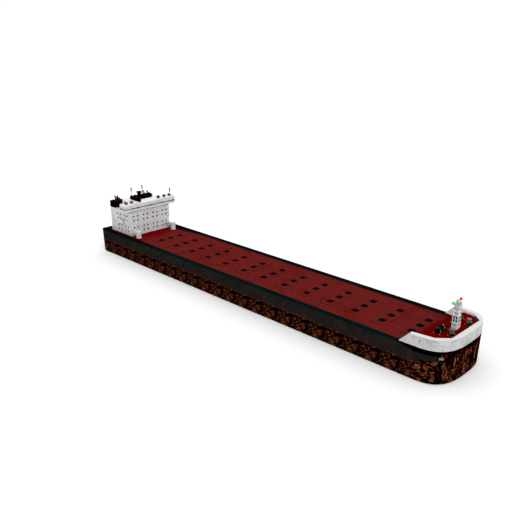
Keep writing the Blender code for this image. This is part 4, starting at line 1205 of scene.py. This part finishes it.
def warningMarks():
    side = marks["side"]
    dabs = []
    for kind in ("windlass", "capstan_base"):
        for label, sign in sides:
            low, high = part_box(f"{kind}_{label}")
            for x in (low.x, high.x):
                for y in (low.y, high.y):
                    dabs.append((x, y, low.z + side / 2))
            if kind == "capstan_base":
                dabs.append((high.x, (low.y + high.y) / 2, high.z - side / 2))
                dabs.append(((low.x + high.x) / 2, low.y, high.z - side / 2))
    grow("warning_dabs", "block", dabs, {"Size": (side, side, side)}, "yellow")
    stripes = []
    for label, sign in sides:
        low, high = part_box(f"windlass_{label}")
        outer = low.y if sign < 0 else high.y
        inward = outer - sign * marks["stripeIn"]
        stripes.append((high.x - marks["stripeBack"], inward, low.z + marks["stripeRise"]))
    grow("warning_stripes", "block", stripes, {"Size": marks["stripe"]}, "yellow")
    vents = [(x, y, deckZ + deckVents["height"] / 2) for x, y in deckVents["places"]]
    size = {"Radius": deckVents["radius"], "Height": deckVents["height"]}
    grow("deck_vents", "round", vents, size, "vent")
    number, y, ahead = deckVents["onCover"]
    low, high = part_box(f"hatch_cover_{number:02d}")
    place = (low.x + ahead, y, high.z + deckVents["height"] / 2)
    grow("cover_vent", "round", [place], size, "vent", f"cover_{number:02d}")
    print("deck marked")


warningMarks()


# The foremast's head: braces under the lights' arm, and a rail round the platform
mastHead = {
    "armX": 13.655,
    "armHalf": 0.39,
    "armRise": 1.915,           # above the main deck
    "tube": 0.008,
    "struts": (0.35, 0.65, 0.9),        # shares of the arm's half, where its upright struts meet it
    "strutLean": 0.3,           # of that distance, where they meet the platform
    "stayShare": 0.92,          # of the arm's half, where the long stay to the mast's top begins
    "knees": ((0.0, 0.13), (-0.02, -0.07)),     # x of each sloping knee's top and foot, from the arm
    "kneeY": 0.13,
    "legs": (-0.08, 0.10),      # x of the topmast's legs, from the arm
    "legY": (0.14, 0.05),       # y of their feet and tops
    "legLean": 0.4,
    "railX": (13.875, 13.585),
    "railY": 0.145,
    "railSizes": {"Height": 0.10, "Spacing": 0.07, "Rail Radius": 0.005, "Post Radius": 0.005},
}


def mastThings():
    look = mastHead
    x, z, half = look["armX"], deckZ + look["armRise"], look["armHalf"]
    top = deckZ + mastLook["columnTop"]
    foot = top + 0.01
    runs = []
    for label, side in sides:
        for share in look["struts"]:
            y = side * half * share
            runs.append(((x, y, z), (x, y * look["strutLean"], foot)))
        runs.append(((x, side * half * look["stayShare"], z + 0.03), (x, 0, mastTop - 0.02)))
        for ahead, footAhead in look["knees"]:
            knee = (x + ahead, side * half / 2, z + 0.01)
            runs.append((knee, (x + footAhead, side * look["kneeY"], foot)))
        lowY, highY = (side * y for y in look["legY"])
        for ahead in look["legs"]:
            runs.append(((x + ahead, lowY, top), (x + ahead * look["legLean"], highY, mastTop - 0.09)))
    tubePiece("mast_braces", runs, look["tube"], "rail")
    y = look["railY"]
    foreX, aftX = look["railX"]
    outline = [(foreX, -y, top), (foreX, y, top), (aftX, y, top), (aftX, -y, top)]
    grow("mast_rail", "rail", outline, look["railSizes"], "rail", closed=True, lines=True)
    print("foremast fitted")


mastThings()


# Boat falls below the lifeboats, and the orange box beside them
falls = {
    "x": (-12.71, -12.49),
    "foot": 0.005,              # above the deck
    "into": 0.08,               # up into the boat
    "out": 0.03,                # from the house's side
    "radius": 0.005,
    "box": (0.06, 0.03, 0.075),
    "boxX": -12.75,
    "boxRise": 0.17,
}


def boatFalls():
    boxes = []
    for label, side in sides:
        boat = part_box(f"lifeboat_{label}")[0]
        y = side * (lowerHigh.y + falls["out"])
        runs = [((x, y, deckZ + falls["foot"]), (x, y, boat.z + falls["into"])) for x in falls["x"]]
        tubePiece(f"boat_falls_{label}", runs, falls["radius"], "rail")
        boxes.append((falls["boxX"], side * (lowerHigh.y + falls["box"][1] / 2), deckZ + falls["boxRise"]))
    grow("orange_boxes", "block", boxes, {"Size": falls["box"]}, "orange")
    print("boats slung")


boatFalls()


# Lagging round the funnel's pipes, and the thick stretch near each whip's top
funnelPipes = {
    "rise": 0.47,               # from the top of the house to the funnel's top
    "aftRun": ((-13.926, -1.358, 0.0), (-14.008, -1.404, 0.33)),
    "foreRun": ((-13.615, -1.37, 0.0), (-13.70, -1.385, 0.40)),
    "radius": 0.056,
}
whips = {
    "tips": ((-12.615, -0.818, 3.405), (-12.702, 0.231, 3.428), (-11.745, 2.12, 3.059)),
    "radius": 0.042,
    "length": 0.27,
    "bare": 0.03,               # above the thick stretch
}


def pipesAndWhips():
    foot = houseHigh.z + funnelPipes["rise"]
    runs = []
    for run in ("aftRun", "foreRun"):
        runs.append([(x, y, foot + rise) for x, y, rise in funnelPipes[run]])
    tubePiece("funnel_lagging", runs, funnelPipes["radius"], "pipe", segments=16)
    drop = whips["bare"] + whips["length"] / 2
    places = [(x, y, deckZ + rise - drop) for x, y, rise in whips["tips"]]
    grow("whip_coils", "round", places, {"Radius": whips["radius"], "Height": whips["length"]}, "whip")
    print("pipes lagged")


pipesAndWhips()
